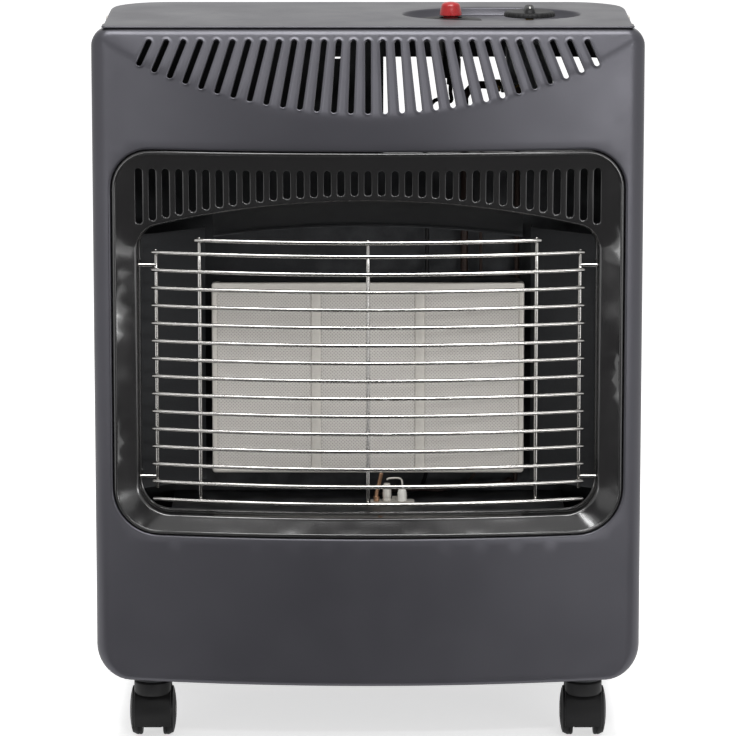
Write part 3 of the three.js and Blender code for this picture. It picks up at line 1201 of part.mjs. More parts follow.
// A barbed hose nozzle behind the valve, with its bore open at the end.
function inletNozzle() {
  const start = REAR_PORT_Y + SEAT_GAP;
  const barbs = start + NOZZLE_COLLAR + 2;
  const barbPitch = 5;
  const profile = [
    [0, start],
    [NOZZLE_COLLAR, start],
    [NOZZLE_COLLAR, start + NOZZLE_COLLAR - 1],
    [NOZZLE_RADIUS, start + NOZZLE_COLLAR],
    [NOZZLE_RADIUS, barbs],
  ];
  for (let i = 0; i < NOZZLE_BARBS; i += 1) {
    const barb = barbs + i * barbPitch;
    profile.push([NOZZLE_RADIUS + 1, barb], [NOZZLE_RADIUS, barb + barbPitch]);
  }
  const end = barbs + NOZZLE_BARBS * barbPitch;
  profile.push([NOZZLE_BORE, end], [NOZZLE_BORE, start + NOZZLE_COLLAR / 2], [0, start + NOZZLE_COLLAR / 2]);
  const points = profile.map(([radius, y]) => new THREE.Vector2(radius, y));
  const geometry = new THREE.LatheGeometry(points, 10);
  geometry.translate(KNOB_X, 0, INLET_HEIGHT);
  return meshFrom('inlet_nozzle', solidFrom(geometry), BRASS());
}

// ---- Pipes and leads ----

const INJECTOR_TOP = BURNER_TOP - INJECTOR_DROP;
const DUCT_Y = behind(DUCT_BACK);

function burnerInjector() {
  const front = behind(HOUSING_REAR) + SEAT_GAP;
  const body = block(
    [INJECTOR_X - INJECTOR_WIDTH / 2, front, INJECTOR_TOP - INJECTOR_HEIGHT],
    [INJECTOR_X + INJECTOR_WIDTH / 2, front + INJECTOR_WIDTH, INJECTOR_TOP - 4],
  );
  const neck = barBetween('z', [INJECTOR_X, DUCT_Y, INJECTOR_TOP - 8], [INJECTOR_X, DUCT_Y, INJECTOR_TOP], 4.6, 6);
  return meshFrom('burner_injector', body.add(neck), BRASS());
}

function supplyPipe() {
  const startX = SIDE_PORT_X - SEAT_GAP;
  const points = [
    [startX, CONTROL_Y, PORT_HEIGHT],
    [startX - 6, CONTROL_Y, PORT_HEIGHT],
    [INJECTOR_X + 8, CONTROL_Y - 1, PORT_HEIGHT],
    [INJECTOR_X, DUCT_Y, PORT_HEIGHT - 8],
    [INJECTOR_X, DUCT_Y, PORT_HEIGHT - 22],
    [INJECTOR_X, DUCT_Y, INJECTOR_TOP + 60],
    [INJECTOR_X, DUCT_Y, INJECTOR_TOP + SEAT_GAP],
  ];
  return meshFrom('burner_supply_pipe', wire(points, SUPPLY_PIPE_RADIUS, 18, 6), COPPER());
}

const PILOT_FLOOR = WINDOW_BOTTOM + SHEET; // top of the pilot bracket
const PILOT_SEAT = PILOT_FLOOR + SEAT_GAP;
const PILOT_PORT_HEIGHT = PILOT_SEAT + PILOT_HEIGHT / 2;
const PILOT_PORT_REACH = PILOT_TUBE + 0.2;

function pilotPipe() {
  const portX = PILOT_PORT_X;
  const portY = FRONT_PORT_Y - SEAT_GAP;
  const low = PILOT_PORT_HEIGHT;
  const points = [
    [portX, portY, PORT_HEIGHT],
    [portX, portY - 6, PORT_HEIGHT - 1],
    [portX, portY - 7, PORT_HEIGHT - 14],
    [portX, DUCT_Y, PORT_HEIGHT - 30],
    [portX, DUCT_Y, BURNER_TOP],
    [portX, DUCT_Y, BURNER_BOTTOM],
    [portX - 6, DUCT_Y - 8, low + 3],
    [portX - 20, DUCT_Y - 12, low],
    [PILOT_X + 30, behind(PILOT_BACK + 16), low],
    [PILOT_X, behind(PILOT_BACK + 12), low],
    [PILOT_X, behind(PILOT_BACK + PILOT_PORT_REACH + SEAT_GAP), low],
  ];
  return meshFrom('pilot_supply_pipe', wire(points, PILOT_PIPE_RADIUS, 26, 5), COPPER());
}

function pilotBracket() {
  const low = WINDOW_BOTTOM;
  const front = behind(PILOT_BACK - 8);
  const rear = behind(PILOT_BACK + 9);
  const left = PROBE_X - 4.5;
  const right = ELECTRODE_X + 9.5;
  const plate = prismZ(roundedRectangle(left, front, right, rear, 3), low, low + SHEET, 2);
  const lip = block([PILOT_X + 4, rear - SHEET, low], [ELECTRODE_X - ELECTRODE_RADIUS, rear, low + 3 * SHEET]);
  return meshFrom('pilot_bracket', plate.add(lip), BRIGHT_STEEL());
}

function pilotBurner() {
  const y = behind(PILOT_BACK);
  const shoulder = PILOT_SEAT + PILOT_HEIGHT - 4;
  const profile = [
    [0, PILOT_SEAT],
    [PILOT_TUBE, PILOT_SEAT],
    [PILOT_TUBE, shoulder - 1],
    [PILOT_TIP, shoulder],
    [PILOT_TIP, PILOT_SEAT + PILOT_HEIGHT],
    [0, PILOT_SEAT + PILOT_HEIGHT],
  ];
  const tube = turned(profile, PILOT_X, y, 14);
  const portEnd = y + PILOT_PORT_REACH;
  const port = barBetween('y', [PILOT_X, y, PILOT_PORT_HEIGHT], [PILOT_X, portEnd, PILOT_PORT_HEIGHT], PILOT_TIP, 8);
  return meshFrom('pilot_burner', tube.add(port), BRIGHT_STEEL());
}

const THERMOCOUPLE_FOOT = [PROBE_X, behind(PILOT_BACK), PILOT_SEAT];

function thermocouple() {
  const [x, y, z] = THERMOCOUPLE_FOOT;
  const points = [[x, y, z], [x, y, z + 5], [x + 1.6, y, z + 12], [x + 3.8, y - 1, z + PROBE_HEIGHT]];
  const rod = wire(points, 1.5, 6, 6);
  const collar = bar('z', [x, y, z + 2], 2.4, 4, 8);
  return meshFrom('thermocouple', rod.add(collar), COPPER());
}

function ignitionElectrode() {
  const y = behind(PILOT_BACK);
  const profile = [
    [0, PILOT_SEAT],
    [ELECTRODE_RADIUS, PILOT_SEAT],
    [ELECTRODE_RADIUS, PILOT_SEAT + ELECTRODE_HEIGHT - 3],
    [ELECTRODE_RADIUS - 1, PILOT_SEAT + ELECTRODE_HEIGHT],
    [0, PILOT_SEAT + ELECTRODE_HEIGHT],
  ];
  const insulator = turned(profile, ELECTRODE_X, y, 10);
  const top = PILOT_SEAT + ELECTRODE_HEIGHT + 8;
  const points = [
    [ELECTRODE_X, y, PILOT_SEAT + ELECTRODE_HEIGHT - 2],
    [ELECTRODE_X, y, top - 3],
    [ELECTRODE_X - 2, y, top],
    [PILOT_X + 2, y, top],
    [PILOT_X, y, top - 1],
  ];
  return meshFrom('ignition_electrode', insulator.add(wire(points, 0.7, 10, 4)), CERAMIC());
}

function thermocoupleLead() {
  const [x, y, z] = THERMOCOUPLE_FOOT;
  const height = REFLECTOR_FLOOR + 3.6;
  const points = [
    [x, y + 2.4 + SEAT_GAP, z + 2],
    [x, y + 8, z + 2],
    [x + 4, y + 18, height],
    [x + 30, DUCT_Y - 6, height],
    [PROBE_LEAD_X - 24, DUCT_Y, height],
    [PROBE_LEAD_X, DUCT_Y, BURNER_BOTTOM + 8],
    [PROBE_LEAD_X, DUCT_Y, BURNER_TOP],
    [PROBE_LEAD_X, DUCT_Y, SHIELD_LOW - 6],
    [PROBE_LEAD_X + 8, DUCT_Y + 1, SHIELD_LOW + 7],
    [KNOB_X - 10, CONTROL_Y, SHIELD_LOW + 7],
    [KNOB_X - 4, CONTROL_Y, VALVE_BOTTOM - 6],
    [KNOB_X - 4, CONTROL_Y, VALVE_BOTTOM - SEAT_GAP],
  ];
  return meshFrom('thermocouple_lead', wire(points, PROBE_RADIUS, 26, 4), COPPER());
}

function ignitionLead() {
  const electrodeY = behind(PILOT_BACK + ELECTRODE_RADIUS) + SEAT_GAP;
  const low = PILOT_SEAT + 2;
  const points = [
    [ELECTRODE_X, electrodeY, low],
    [ELECTRODE_X, electrodeY + 6, low],
    [ELECTRODE_X + 2, electrodeY + 14, low - 0.5],
    [SPARK_LEAD_X - 6, DUCT_Y - 10, low + 2],
    [SPARK_LEAD_X - 1, DUCT_Y - 2, low + 10],
    [SPARK_LEAD_X, DUCT_Y, BURNER_BOTTOM + 10],
    [SPARK_LEAD_X, DUCT_Y, BURNER_TOP],
    [SPARK_LEAD_X, DUCT_Y, SHIELD_LOW - 25],
    [SPARK_LEAD_X - 2, DUCT_Y - 6, SHIELD_LOW],
    [SPARK_LEAD_X + 6, DUCT_Y - 2, SHIELD_LOW + 14],
    [BUTTON_X, CONTROL_Y - 2, IGNITER_BOTTOM - 13],
    [BUTTON_X, CONTROL_Y, IGNITER_BOTTOM - 6],
    [BUTTON_X, CONTROL_Y, IGNITER_BOTTOM - SEAT_GAP],
  ];
  return meshFrom('ignition_lead', wire(points, LEAD_RADIUS, 26, 4), BLACK_PLASTIC());
}

// ---- Casters: twin wheels on one axle under a hood that swivels on a stem ----

const CASTER_X = CABINET_WIDTH / 2 - CASTER_INSET;

function casterParts(prefix, x, y) {
  const axleY = y + CASTER_TRAIL;
  const axleZ = WHEEL_RADIUS;
  const hoodInner = WHEEL_RADIUS + HOOD_GAP;
  const hoodOuter = hoodInner + HOOD_WALL;
  const halfWeb = WEB_WIDTH / 2;
  const halfWidth = halfWeb + WHEEL_GAP + WHEEL_WIDTH;
  const flangeLow = CASTER_HEIGHT - STEM_FLANGE;
  const stemFoot = CASTER_HEIGHT - STEM_LENGTH;

  const stemProfile = [
    [0, stemFoot],
    [STEM_RADIUS, stemFoot],
    [STEM_RADIUS, flangeLow],
    [STEM_FLANGE_RADIUS, flangeLow],
    [STEM_FLANGE_RADIUS, CASTER_HEIGHT],
    [0, CASTER_HEIGHT],
  ];
  const stem = meshFrom(`${prefix}_stem`, turned(stemProfile, x, y, 12), DIE_CAST());

  const start = radians(HOOD_START);
  const end = radians(HOOD_END);
  const coverShape = new THREE.Shape();
  coverShape.absarc(axleY, axleZ, hoodOuter, start, end, false);
  coverShape.absarc(axleY, axleZ, hoodInner, end, start, true);
  const cover = prismX(coverShape, x - halfWidth, x + halfWidth, 4);
  const webShape = new THREE.Shape();
  webShape.absarc(axleY, axleZ, hoodOuter - 1, start, end, false);
  webShape.quadraticCurveTo(axleY - hoodOuter + 1, WEB_FOOT + 2.5, axleY - WHEEL_RADIUS / 2, WEB_FOOT);
  webShape.lineTo(axleY + WHEEL_RADIUS / 3, WEB_FOOT);
  const web = prismX(webShape, x - halfWeb, x + halfWeb, 4);
  const boss = barBetween('z', [x, y, stemFoot - 3], [x, y, flangeLow - SEAT_GAP], halfWeb, 12);
  const bore = barBetween('z', [x, y, stemFoot - CUT_MARGIN], [x, y, flangeLow], STEM_RADIUS + SLIDING_CLEARANCE, 12);
  const axleHole = bar('x', [x, axleY, axleZ], AXLE_RADIUS + SEAT_GAP, 3 * halfWidth, 8);
  const hoodSolid = union([cover, web, boss]).subtract(bore.add(axleHole));
  const hood = meshFrom(`${prefix}_hood`, hoodSolid, BLACK_PLASTIC());

  const pin = bar('x', [x, axleY, axleZ], AXLE_RADIUS, 2 * halfWidth - AXLE_HEAD, 8);
  const heads = [-1, 1].map((side) => {
    const centre = [x + side * (halfWidth - SEAT_GAP - AXLE_HEAD / 2), axleY, axleZ];
    return bar('x', centre, AXLE_HEAD_RADIUS, AXLE_HEAD, 8);
  });
  const axle = meshFrom(`${prefix}_axle`, union([pin, ...heads]), BRIGHT_STEEL());

  const wheelSides = 14;
  const tread = WHEEL_RADIUS / Math.cos(Math.PI / wheelSides);
  const bearing = (AXLE_RADIUS + RUNNING_CLEARANCE) / Math.cos(Math.PI / wheelSides);
  const hub = WHEEL_WIDTH - WHEEL_DISH;
  const wheelProfile = [
    [bearing, 0],
    [tread, 0],
    [tread, WHEEL_WIDTH - WHEEL_CHAMFER],
    [tread - WHEEL_CHAMFER, WHEEL_WIDTH],
    [AXLE_HEAD_RADIUS + 1, hub],
    [bearing, hub],
    [bearing, 0],
  ].map(([radius, along]) => new THREE.Vector2(radius, along));
  const wheels = [['left', -1], ['right', 1]].map(([label, side]) => {
    const geometry = new THREE.LatheGeometry(wheelProfile, wheelSides, Math.PI / wheelSides);
    geometry.rotateZ((-side * Math.PI) / 2);
    geometry.translate(x + side * (halfWeb + WHEEL_GAP), axleY, axleZ);
    return meshFrom(`${prefix}_${label}_wheel`, solidFrom(geometry), BLACK_PLASTIC());
  });
  return [stem, hood, axle, ...wheels];
}

// ---- Assembly ----

const heater = new THREE.Group();
heater.add(
  frontPanel(),
  topPanel(),
  sidePanel('left_side_panel', -1),
  sidePanel('right_side_panel', 1),
  basePanel(),
  rearCover(),
  heatShield(),
  burnerSurround(),
  wireGuard(),
  flueHood(),
  sideReflector('left_reflector', -1),
  sideReflector('right_reflector', 1),
  bottomReflector(),
  burnerFrame(),
  burnerHousing(),
  burnerBracket('left_burner_bracket', -BRACKET_X),
  burnerBracket('right_burner_bracket', BRACKET_X),
  burnerInjector(),
  supplyPipe(),
  pilotPipe(),
  pilotBracket(),
  pilotBurner(),
  thermocouple(),
  thermocoupleLead(),
  ignitionElectrode(),
  ignitionLead(),
  igniterBezel(),
  igniterBody(),
  igniterButton(),
  gasValveBody(),
  valvePlunger(),
  valveSpindle(),
  controlKnob(),
  inletNozzle(),
);
Object.entries(PLAQUE_PLACES).forEach(([name, place]) => heater.add(plaque(name, place)));
for (const [side, label] of [[-1, 'left'], [1, 'right']]) {
  heater.add(...casterParts(`front_${label}_caster`, side * CASTER_X, behind(FRONT_CASTER_BACK)));
  heater.add(...casterParts(`rear_${label}_caster`, side * CASTER_X, behind(DEPTH - REAR_CASTER_INSET)));
}

export default heater;
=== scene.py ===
"""Looks of the portable gas cabinet heater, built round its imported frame. Metres, +Z up, front towards -Y."""

import json
import math

import bmesh
import bpy
import numpy as np
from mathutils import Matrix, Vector
from mathutils.geometry import delaunay_2d_cdt


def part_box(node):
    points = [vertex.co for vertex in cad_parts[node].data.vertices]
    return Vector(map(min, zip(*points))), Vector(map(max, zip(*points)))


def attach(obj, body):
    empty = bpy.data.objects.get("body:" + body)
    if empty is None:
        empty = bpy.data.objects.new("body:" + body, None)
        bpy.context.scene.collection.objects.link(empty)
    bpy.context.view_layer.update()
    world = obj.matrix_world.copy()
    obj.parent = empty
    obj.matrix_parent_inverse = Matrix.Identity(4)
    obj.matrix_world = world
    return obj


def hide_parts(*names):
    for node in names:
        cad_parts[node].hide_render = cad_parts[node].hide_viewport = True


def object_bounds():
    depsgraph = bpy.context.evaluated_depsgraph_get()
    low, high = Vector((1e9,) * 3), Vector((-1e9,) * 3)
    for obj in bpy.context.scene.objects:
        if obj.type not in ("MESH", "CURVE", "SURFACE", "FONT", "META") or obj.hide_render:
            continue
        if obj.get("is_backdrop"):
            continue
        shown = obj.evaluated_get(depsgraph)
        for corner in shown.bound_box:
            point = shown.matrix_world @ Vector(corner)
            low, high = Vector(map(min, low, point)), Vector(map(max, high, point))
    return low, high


bl_info = {
    "name": "Gas cabinet heater",
    "version": (1, 0, 0),
    "blender": (4, 5, 0),
    "location": "View3D > Sidebar > Heater",
    "description": "Builds the detailed pieces, finishes and studio of a portable gas cabinet heater",
    "category": "Object",
}

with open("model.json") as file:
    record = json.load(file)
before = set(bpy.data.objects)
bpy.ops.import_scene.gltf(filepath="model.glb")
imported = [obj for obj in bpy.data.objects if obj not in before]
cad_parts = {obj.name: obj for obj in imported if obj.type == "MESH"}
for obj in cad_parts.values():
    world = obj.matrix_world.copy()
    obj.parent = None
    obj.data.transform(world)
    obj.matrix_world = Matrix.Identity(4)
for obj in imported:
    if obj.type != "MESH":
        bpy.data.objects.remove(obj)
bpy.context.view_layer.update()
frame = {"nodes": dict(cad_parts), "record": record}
MM = 0.001

# ---- Sizes shared with the frame ----

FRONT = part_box("burner_surround")[0][1] - 0.3 * MM  # front of the bow
HALF_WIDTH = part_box("front_panel")[1][0]
PANEL_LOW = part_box("front_panel")[0][2]
PANEL_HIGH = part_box("front_panel")[1][2]
PANEL_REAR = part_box("front_panel")[1][1]
SIDE_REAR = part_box("right_side_panel")[1][1]
SHEET = 1.2 * MM
BOW_RADIUS = 850 * MM
FACET_RUN = 27.5 * MM
FACET_HEIGHT = 64.5 * MM
FACET_FOOT = PANEL_HIGH - FACET_HEIGHT
FACET_LEAN = math.atan2(FACET_RUN, FACET_HEIGHT)


def bow(x):
    """How far the front curves back at a place across it."""
    return BOW_RADIUS - math.sqrt(BOW_RADIUS ** 2 - x ** 2)


def behind(distance):
    """The place along Y that lies a distance behind the front."""
    return FRONT + distance

# ---- Mesh helpers ----

GRID_ROW = 0.87  # height of a row of the filling grid, as a share of its spacing
GRID_CLEARANCE = 0.5  # least distance of the grid from other points, as a share of its spacing
CREASE_SHARE = 0.3  # share of that distance for points that follow a crease
TUBE_ROUNDING = 0.35  # how far the end of a tube is rounded, as a share of its radius
AXIS_FRAMES = {
    "X": ((0, 1, 0), (0, 0, 1), (1, 0, 0)),
    "Y": ((0, 0, 1), (1, 0, 0), (0, 1, 0)),
    "Z": ((1, 0, 0), (0, 1, 0), (0, 0, 1)),
}


def mesh_object(name, points, faces, body=None):
    """A smooth mesh object from points in metres. It rides on a body when one is named."""
    mesh = bpy.data.meshes.new(name)
    mesh.from_pydata([tuple(p) for p in points], [], faces)
    mesh.validate()
    mesh.update()
    mesh.shade_smooth()
    piece = bpy.data.objects.new(name, mesh)
    bpy.context.scene.collection.objects.link(piece)
    if body:
        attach(piece, body)
    return piece


def dress(piece, finish, sharp_angle=35):
    """Give a piece its finish and smooth faces with crisp edges."""
    piece.data.materials.append(FINISHES[finish])
    piece.data.set_sharp_from_angle(angle=math.radians(sharp_angle))
    return piece


def arc(centre, radius, start, end, steps):
    """Points along an arc, angles in degrees."""
    angles = np.radians(np.linspace(start, end, steps + 1))
    return [(centre[0] + radius * math.cos(a), centre[1] + radius * math.sin(a)) for a in angles]


def rounded_outline(left, low, right, high, radii, steps=8):
    """Outline of a rectangle with rounded corners: bottom left, bottom right, top right, top left."""
    bl, br, tr, tl = radii if isinstance(radii, (tuple, list)) else [radii] * 4
    points = []
    for centre, radius, start in (
        ((right - br, low + br), br, -90), ((right - tr, high - tr), tr, 0),
        ((left + tl, high - tl), tl, 90), ((left + bl, low + bl), bl, 180),
    ):
        points += arc(centre, radius, start, start + 90, steps)
    return points


def capsule(foot, head, width, steps=6):
    """Outline of a slot with round ends between two points."""
    (x0, z0), (x1, z1) = foot, head
    lean = math.degrees(math.atan2(z1 - z0, x1 - x0))
    return arc(foot, width / 2, lean + 90, lean + 270, steps) + arc(
        head, width / 2, lean - 90, lean + 90, steps)


def without_repeats(points, least=1e-7):
    """The outline with points that fall together merged."""
    kept = []
    for point in points:
        if not kept or math.dist(point, kept[-1]) > least:
            kept.append(point)
    if math.dist(kept[0], kept[-1]) <= least:
        kept.pop()
    return kept


def spaced(points, spacing):
    """A closed outline with its long edges divided to about one spacing."""
    result = []
    for here, there in zip(points, points[1:] + points[:1]):
        count = max(1, round(math.dist(here, there) / spacing))
        for i in range(count):
            t = i / count
            result.append((here[0] + (there[0] - here[0]) * t, here[1] + (there[1] - here[1]) * t))
    return result


def even(points, spacing):
    """A closed outline without repeated points, its long edges divided."""
    return spaced(without_repeats(points), spacing)


def quarter(steps, first=0):
    """Angles of a quarter turn in equal steps, from the first step on."""
    return [math.radians(90 * step / steps) for step in range(first, steps + 1)]


def outline_normals(points):
    """Unit normals that point into an anticlockwise outline, and how far the outline turns at each point."""
    array = np.array(points)
    first = array - np.roll(array, 1, axis=0)
    second = np.roll(array, -1, axis=0) - array
    first /= np.linalg.norm(first, axis=1)[:, None]
    second /= np.linalg.norm(second, axis=1)[:, None]
    normals = np.stack([-(first[:, 1] + second[:, 1]), first[:, 0] + second[:, 0]], axis=1)
    length = np.linalg.norm(normals, axis=1)
    return normals / length[:, None], np.maximum(length / 2, 0.4)


def inset(points, distance):
    """An outline moved inwards by one distance, or by a distance for each point."""
    normals, turn = outline_normals(points)
    reach = np.asarray(distance) * np.ones(len(points)) / turn
    return [tuple(p) for p in np.array(points) + normals * reach[:, None]]


def within(points, outline):
    """Which of the points lie inside a closed outline."""
    points, outline = np.asarray(points, float), np.asarray(outline, float)
    x, z = points[:, 0, None], points[:, 1, None]
    x0, z0 = outline[:, 0], outline[:, 1]
    x1, z1 = np.roll(x0, -1), np.roll(z0, -1)
    rise = np.where(z1 == z0, 1.0, z1 - z0)
    crossed = ((z0 > z) != (z1 > z)) & (x < x0 + (z - z0) * (x1 - x0) / rise)
    return crossed.sum(axis=1) % 2 == 1


def on_sheet(points, outer, holes):
    """Which of the points lie inside the outer outline and outside every hole."""
    mask = within(points, outer)
    for hole in holes:
        mask &= ~within(points, hole)
    return mask


def nearest(points, others):
    """Distance from each point to the nearest of some others."""
    points, others = np.asarray(points, float), np.asarray(others, float)
    result = np.empty(len(points))
    for start in range(0, len(points), 500):
        part = points[start:start + 500]
        result[start:start + 500] = np.sqrt(((part[:, None] - others) ** 2).sum(axis=2)).min(axis=1)
    return result


class Shell:
    """Collects the points and faces of one piece."""

    def __init__(self):
        self.points = []
        self.faces = []

    def add(self, points):
        """Add a row of points and give back their indices."""
        start = len(self.points)
        self.points += [tuple(p) for p in points]
        return list(range(start, len(self.points)))

    def bridge(self, first, second, closed=True):
        """Quads between two rows with the same number of points."""
        count = len(first)
        for i in range(count if closed else count - 1):
            j = (i + 1) % count
            self.faces.append((first[i], first[j], second[j], second[i]))

    def fan(self, ring, centre):
        """Triangles between a closed ring and one point."""
        for i, index in enumerate(ring):
            self.faces.append((index, ring[(i + 1) % len(ring)], centre))

    def rings(self, rows, closed=True):
        """Bridge a list of rows of points and give back their indices."""
        indices = [self.add(row) for row in rows]
        for here, there in zip(indices, indices[1:]):
            self.bridge(here, there, closed)
        return indices

    def skin(self, outer, holes, place, spacing, rings=None, extra=()):
        """Fill between a flat outline and its holes, and place each point on a surface.

        rings are the indices of the outline and holes where those exist already.
        extra points follow creases."""
        outlines = [outer] + list(holes)
        rings = rings or [self.add(place(p) for p in outline) for outline in outlines]
        flat, edges, known = [], [], []
        for outline, ring in zip(outlines, rings):
            start = len(flat)
            flat += [tuple(p) for p in outline]
            edges += [(start + i, start + (i + 1) % len(outline)) for i in range(len(outline))]
            known += list(ring)
        fixed = len(flat)
        (left, low), (right, high) = np.min(outer, axis=0), np.max(outer, axis=0)
        grid = []
        for row, z in enumerate(np.arange(low + spacing / 2, high, spacing * GRID_ROW)):
            grid += [(x, z) for x in np.arange(left + spacing * (0.25 + 0.5 * (row % 2)), right, spacing)]
        if len(extra):
            extra = np.array(extra)
            extra = extra[
                on_sheet(extra, outer, holes) & (
                    nearest(extra, flat) > GRID_CLEARANCE * spacing * CREASE_SHARE)]
            flat += [tuple(p) for p in extra]
        if grid:
            grid = np.array(grid)
            grid = grid[on_sheet(grid, outer, holes) & (nearest(grid, flat) > GRID_CLEARANCE * spacing)]
            flat += [tuple(p) for p in grid]
        points, _, faces, origins, _, _ = delaunay_2d_cdt([Vector(p) for p in flat], edges, [], 0, 1e-9)
        index = []
        for point, origin in zip(points, origins):
            old = [i for i in origin if i < fixed]
            index.append(known[old[0]] if old else self.add([place(point)])[0])
        middles = [sum((points[i] for i in face), Vector((0, 0))) / len(face) for face in faces]
        for face, kept in zip(faces, on_sheet(middles, outer, holes)):
            if kept:
                self.faces.append(tuple(index[i] for i in face))

    def piece(self, name, body, thickness=None, towards=None):
        """The piece as an object with its faces outwards. A sheet faces a direction and gets a thickness."""
        piece = mesh_object(name, self.points, self.faces, body)
        work = bmesh.new()
        work.from_mesh(piece.data)
        bmesh.ops.recalc_face_normals(work, faces=work.faces)
        if towards:
            front = max(work.faces, key=lambda face: face.calc_center_median().dot(Vector(towards)))
            if front.normal.dot(Vector(towards)) < 0:
                bmesh.ops.reverse_faces(work, faces=work.faces)
        work.to_mesh(piece.data)
        work.free()
        if thickness:
            modified(piece, "SOLIDIFY", thickness=thickness, offset=-1, use_even_offset=True)
        return piece


def modified(piece, kind, **settings):
    """Put one modifier on a piece and keep its result."""
    modifier = piece.modifiers.new(kind.lower(), kind)
    for name, value in settings.items():
        setattr(modifier, name, value)
    view = bpy.context.evaluated_depsgraph_get()
    result = bpy.data.meshes.new_from_object(piece.evaluated_get(view))
    piece.modifiers.clear()
    plain = piece.data
    piece.data = result
    result.name = piece.name
    bpy.data.meshes.remove(plain)
    return piece


def tube(shell, path, radius, sides=12):
    """A round tube with rounded ends along points, added to a shell."""
    path = [Vector(p) for p in path]
    along = [(path[min(i + 1, len(path) - 1)] - path[max(i - 1, 0)]).normalized() for i in range(len(path))]
    across = along[0].orthogonal().normalized()
    rows = []
    for point, direction in zip(path, along):
        across = (across - direction * across.dot(direction)).normalized()
        third = direction.cross(across)
        angles = [2 * math.pi * k / sides for k in range(sides)]
        rows.append([point + radius * (math.cos(a) * across + math.sin(a) * third) for a in angles])
    rim = TUBE_ROUNDING * radius
    start = [p + (path[0] - p) * TUBE_ROUNDING - along[0] * rim for p in rows[0]]
    stop = [p + (path[-1] - p) * TUBE_ROUNDING + along[-1] * rim for p in rows[-1]]
    rows = [start] + rows + [stop]
    indices = shell.rings(rows)
    shell.fan(list(reversed(indices[0])), shell.add([sum(rows[0], Vector()) / sides])[0])
    shell.fan(indices[-1], shell.add([sum(rows[-1], Vector()) / sides])[0])


def smooth_path(points, steps=8):
    """Points of a smooth curve through the given ones."""
    points = [Vector(p) for p in points]
    ends = [2 * points[0] - points[1]] + points + [2 * points[-1] - points[-2]]
    result = []
    for p0, p1, p2, p3 in zip(ends, ends[1:], ends[2:], ends[3:]):
        for k in range(steps):
            t = k / steps
            a = 2 * p1 + (p2 - p0) * t
            b = (2 * p0 - 5 * p1 + 4 * p2 - p3) * t ** 2 + (3 * p1 - p0 - 3 * p2 + p3) * t ** 3
            result.append((a + b) / 2)
    return result + [points[-1]]


def lathe(shell, profile, centre, axis="Z", sides=48, wave=None):
    """Turn a profile of (radius, along) pairs about an axis through a centre. Ends on the axis are closed."""
    u, v, w = (Vector(a) for a in AXIS_FRAMES[axis])
    centre = Vector(centre)
    rows = []
    for radius, along in profile:
        row = []
        for k in range(sides):
            angle = 2 * math.pi * k / sides
            r = radius + (wave(angle, radius, along) if wave else 0)
            row.append(centre + u * (r * math.cos(angle)) + v * (r * math.sin(angle)) + w * along)
        rows.append(row)
    closed_start, closed_end = profile[0][0] < 1e-9, profile[-1][0] < 1e-9
    middle = rows[1 if closed_start else 0: -1 if closed_end else None]
    indices = shell.rings(middle)
    if closed_start:
        shell.fan(list(reversed(indices[0])), shell.add([centre + w * profile[0][1]])[0])
    if closed_end:
        shell.fan(indices[-1], shell.add([centre + w * profile[-1][1]])[0])
    if not closed_start and not closed_end:
        shell.bridge(indices[-1], indices[0])


def pressed_sheet(shell, outline, roll, turn, place, spacing, holes=(), rings=(), steps=5, extra=()):
    """A pressed sheet: its edges roll back and turn in by a depth. place(u, v, depth) puts a point in space.

    roll and turn are one size, or one for each point of the outline."""
    roll = np.asarray(roll) * np.ones(len(outline))
    turn = np.maximum(np.asarray(turn) * np.ones(len(outline)), roll)
    rows = [[place(u, v, d) for (u, v), d in zip(outline, turn)]]
    for angle in reversed(quarter(steps)):
        row = inset(outline, roll * (1 - math.sin(angle)))
        rows.append([place(u, v, d) for (u, v), d in zip(row, roll * (1 - math.cos(angle)))])
    face = inset(outline, roll)
    edge = shell.rings(rows)[-1]
    shell.skin(face, list(holes), lambda p: place(p[0], p[1], 0), spacing, [edge] + list(rings), extra)


def slab(shell, low, high, edge=math.inf, steps=2):
    """A block between two corners with rounded upright edges and chamfered ends.

    The edge is cut down to what the block's thinnest side allows."""
    (x0, y0, z0), (x1, y1, z1) = low, high
    edge = min(edge, 0.45 * min(x1 - x0, y1 - y0, z1 - z0))
    outline = rounded_outline(x0, y0, x1, y1, max(edge, 1e-5), steps)
    small = inset(outline, edge * 0.7)
    rows = [[(x, y, z0) for x, y in small], [(x, y, z0 + edge) for x, y in outline]]
    rows += [[(x, y, z1 - edge) for x, y in outline], [(x, y, z1) for x, y in small]]
    indices = shell.rings(rows)
    shell.faces.append(tuple(reversed(indices[0])))
    shell.faces.append(tuple(indices[-1]))


def with_steps(outline, levels, gap=0.1 * MM):
    """The outline with a pair of close points where its second coordinate crosses one of the levels."""
    result = []
    for here, there in zip(outline, outline[1:] + outline[:1]):
        result.append(here)
        crossed = [level for level in levels if (here[1] - level) * (there[1] - level) < 0]
        for level in sorted(crossed, reverse=here[1] > there[1]):
            for shift in (-gap, gap) if there[1] > here[1] else (gap, -gap):
                t = (level + shift - here[1]) / (there[1] - here[1])
                result.append((here[0] + (there[0] - here[0]) * t, level + shift))
    return result

# ---- Finishes: shared effects as node groups, then one material for each finish ----

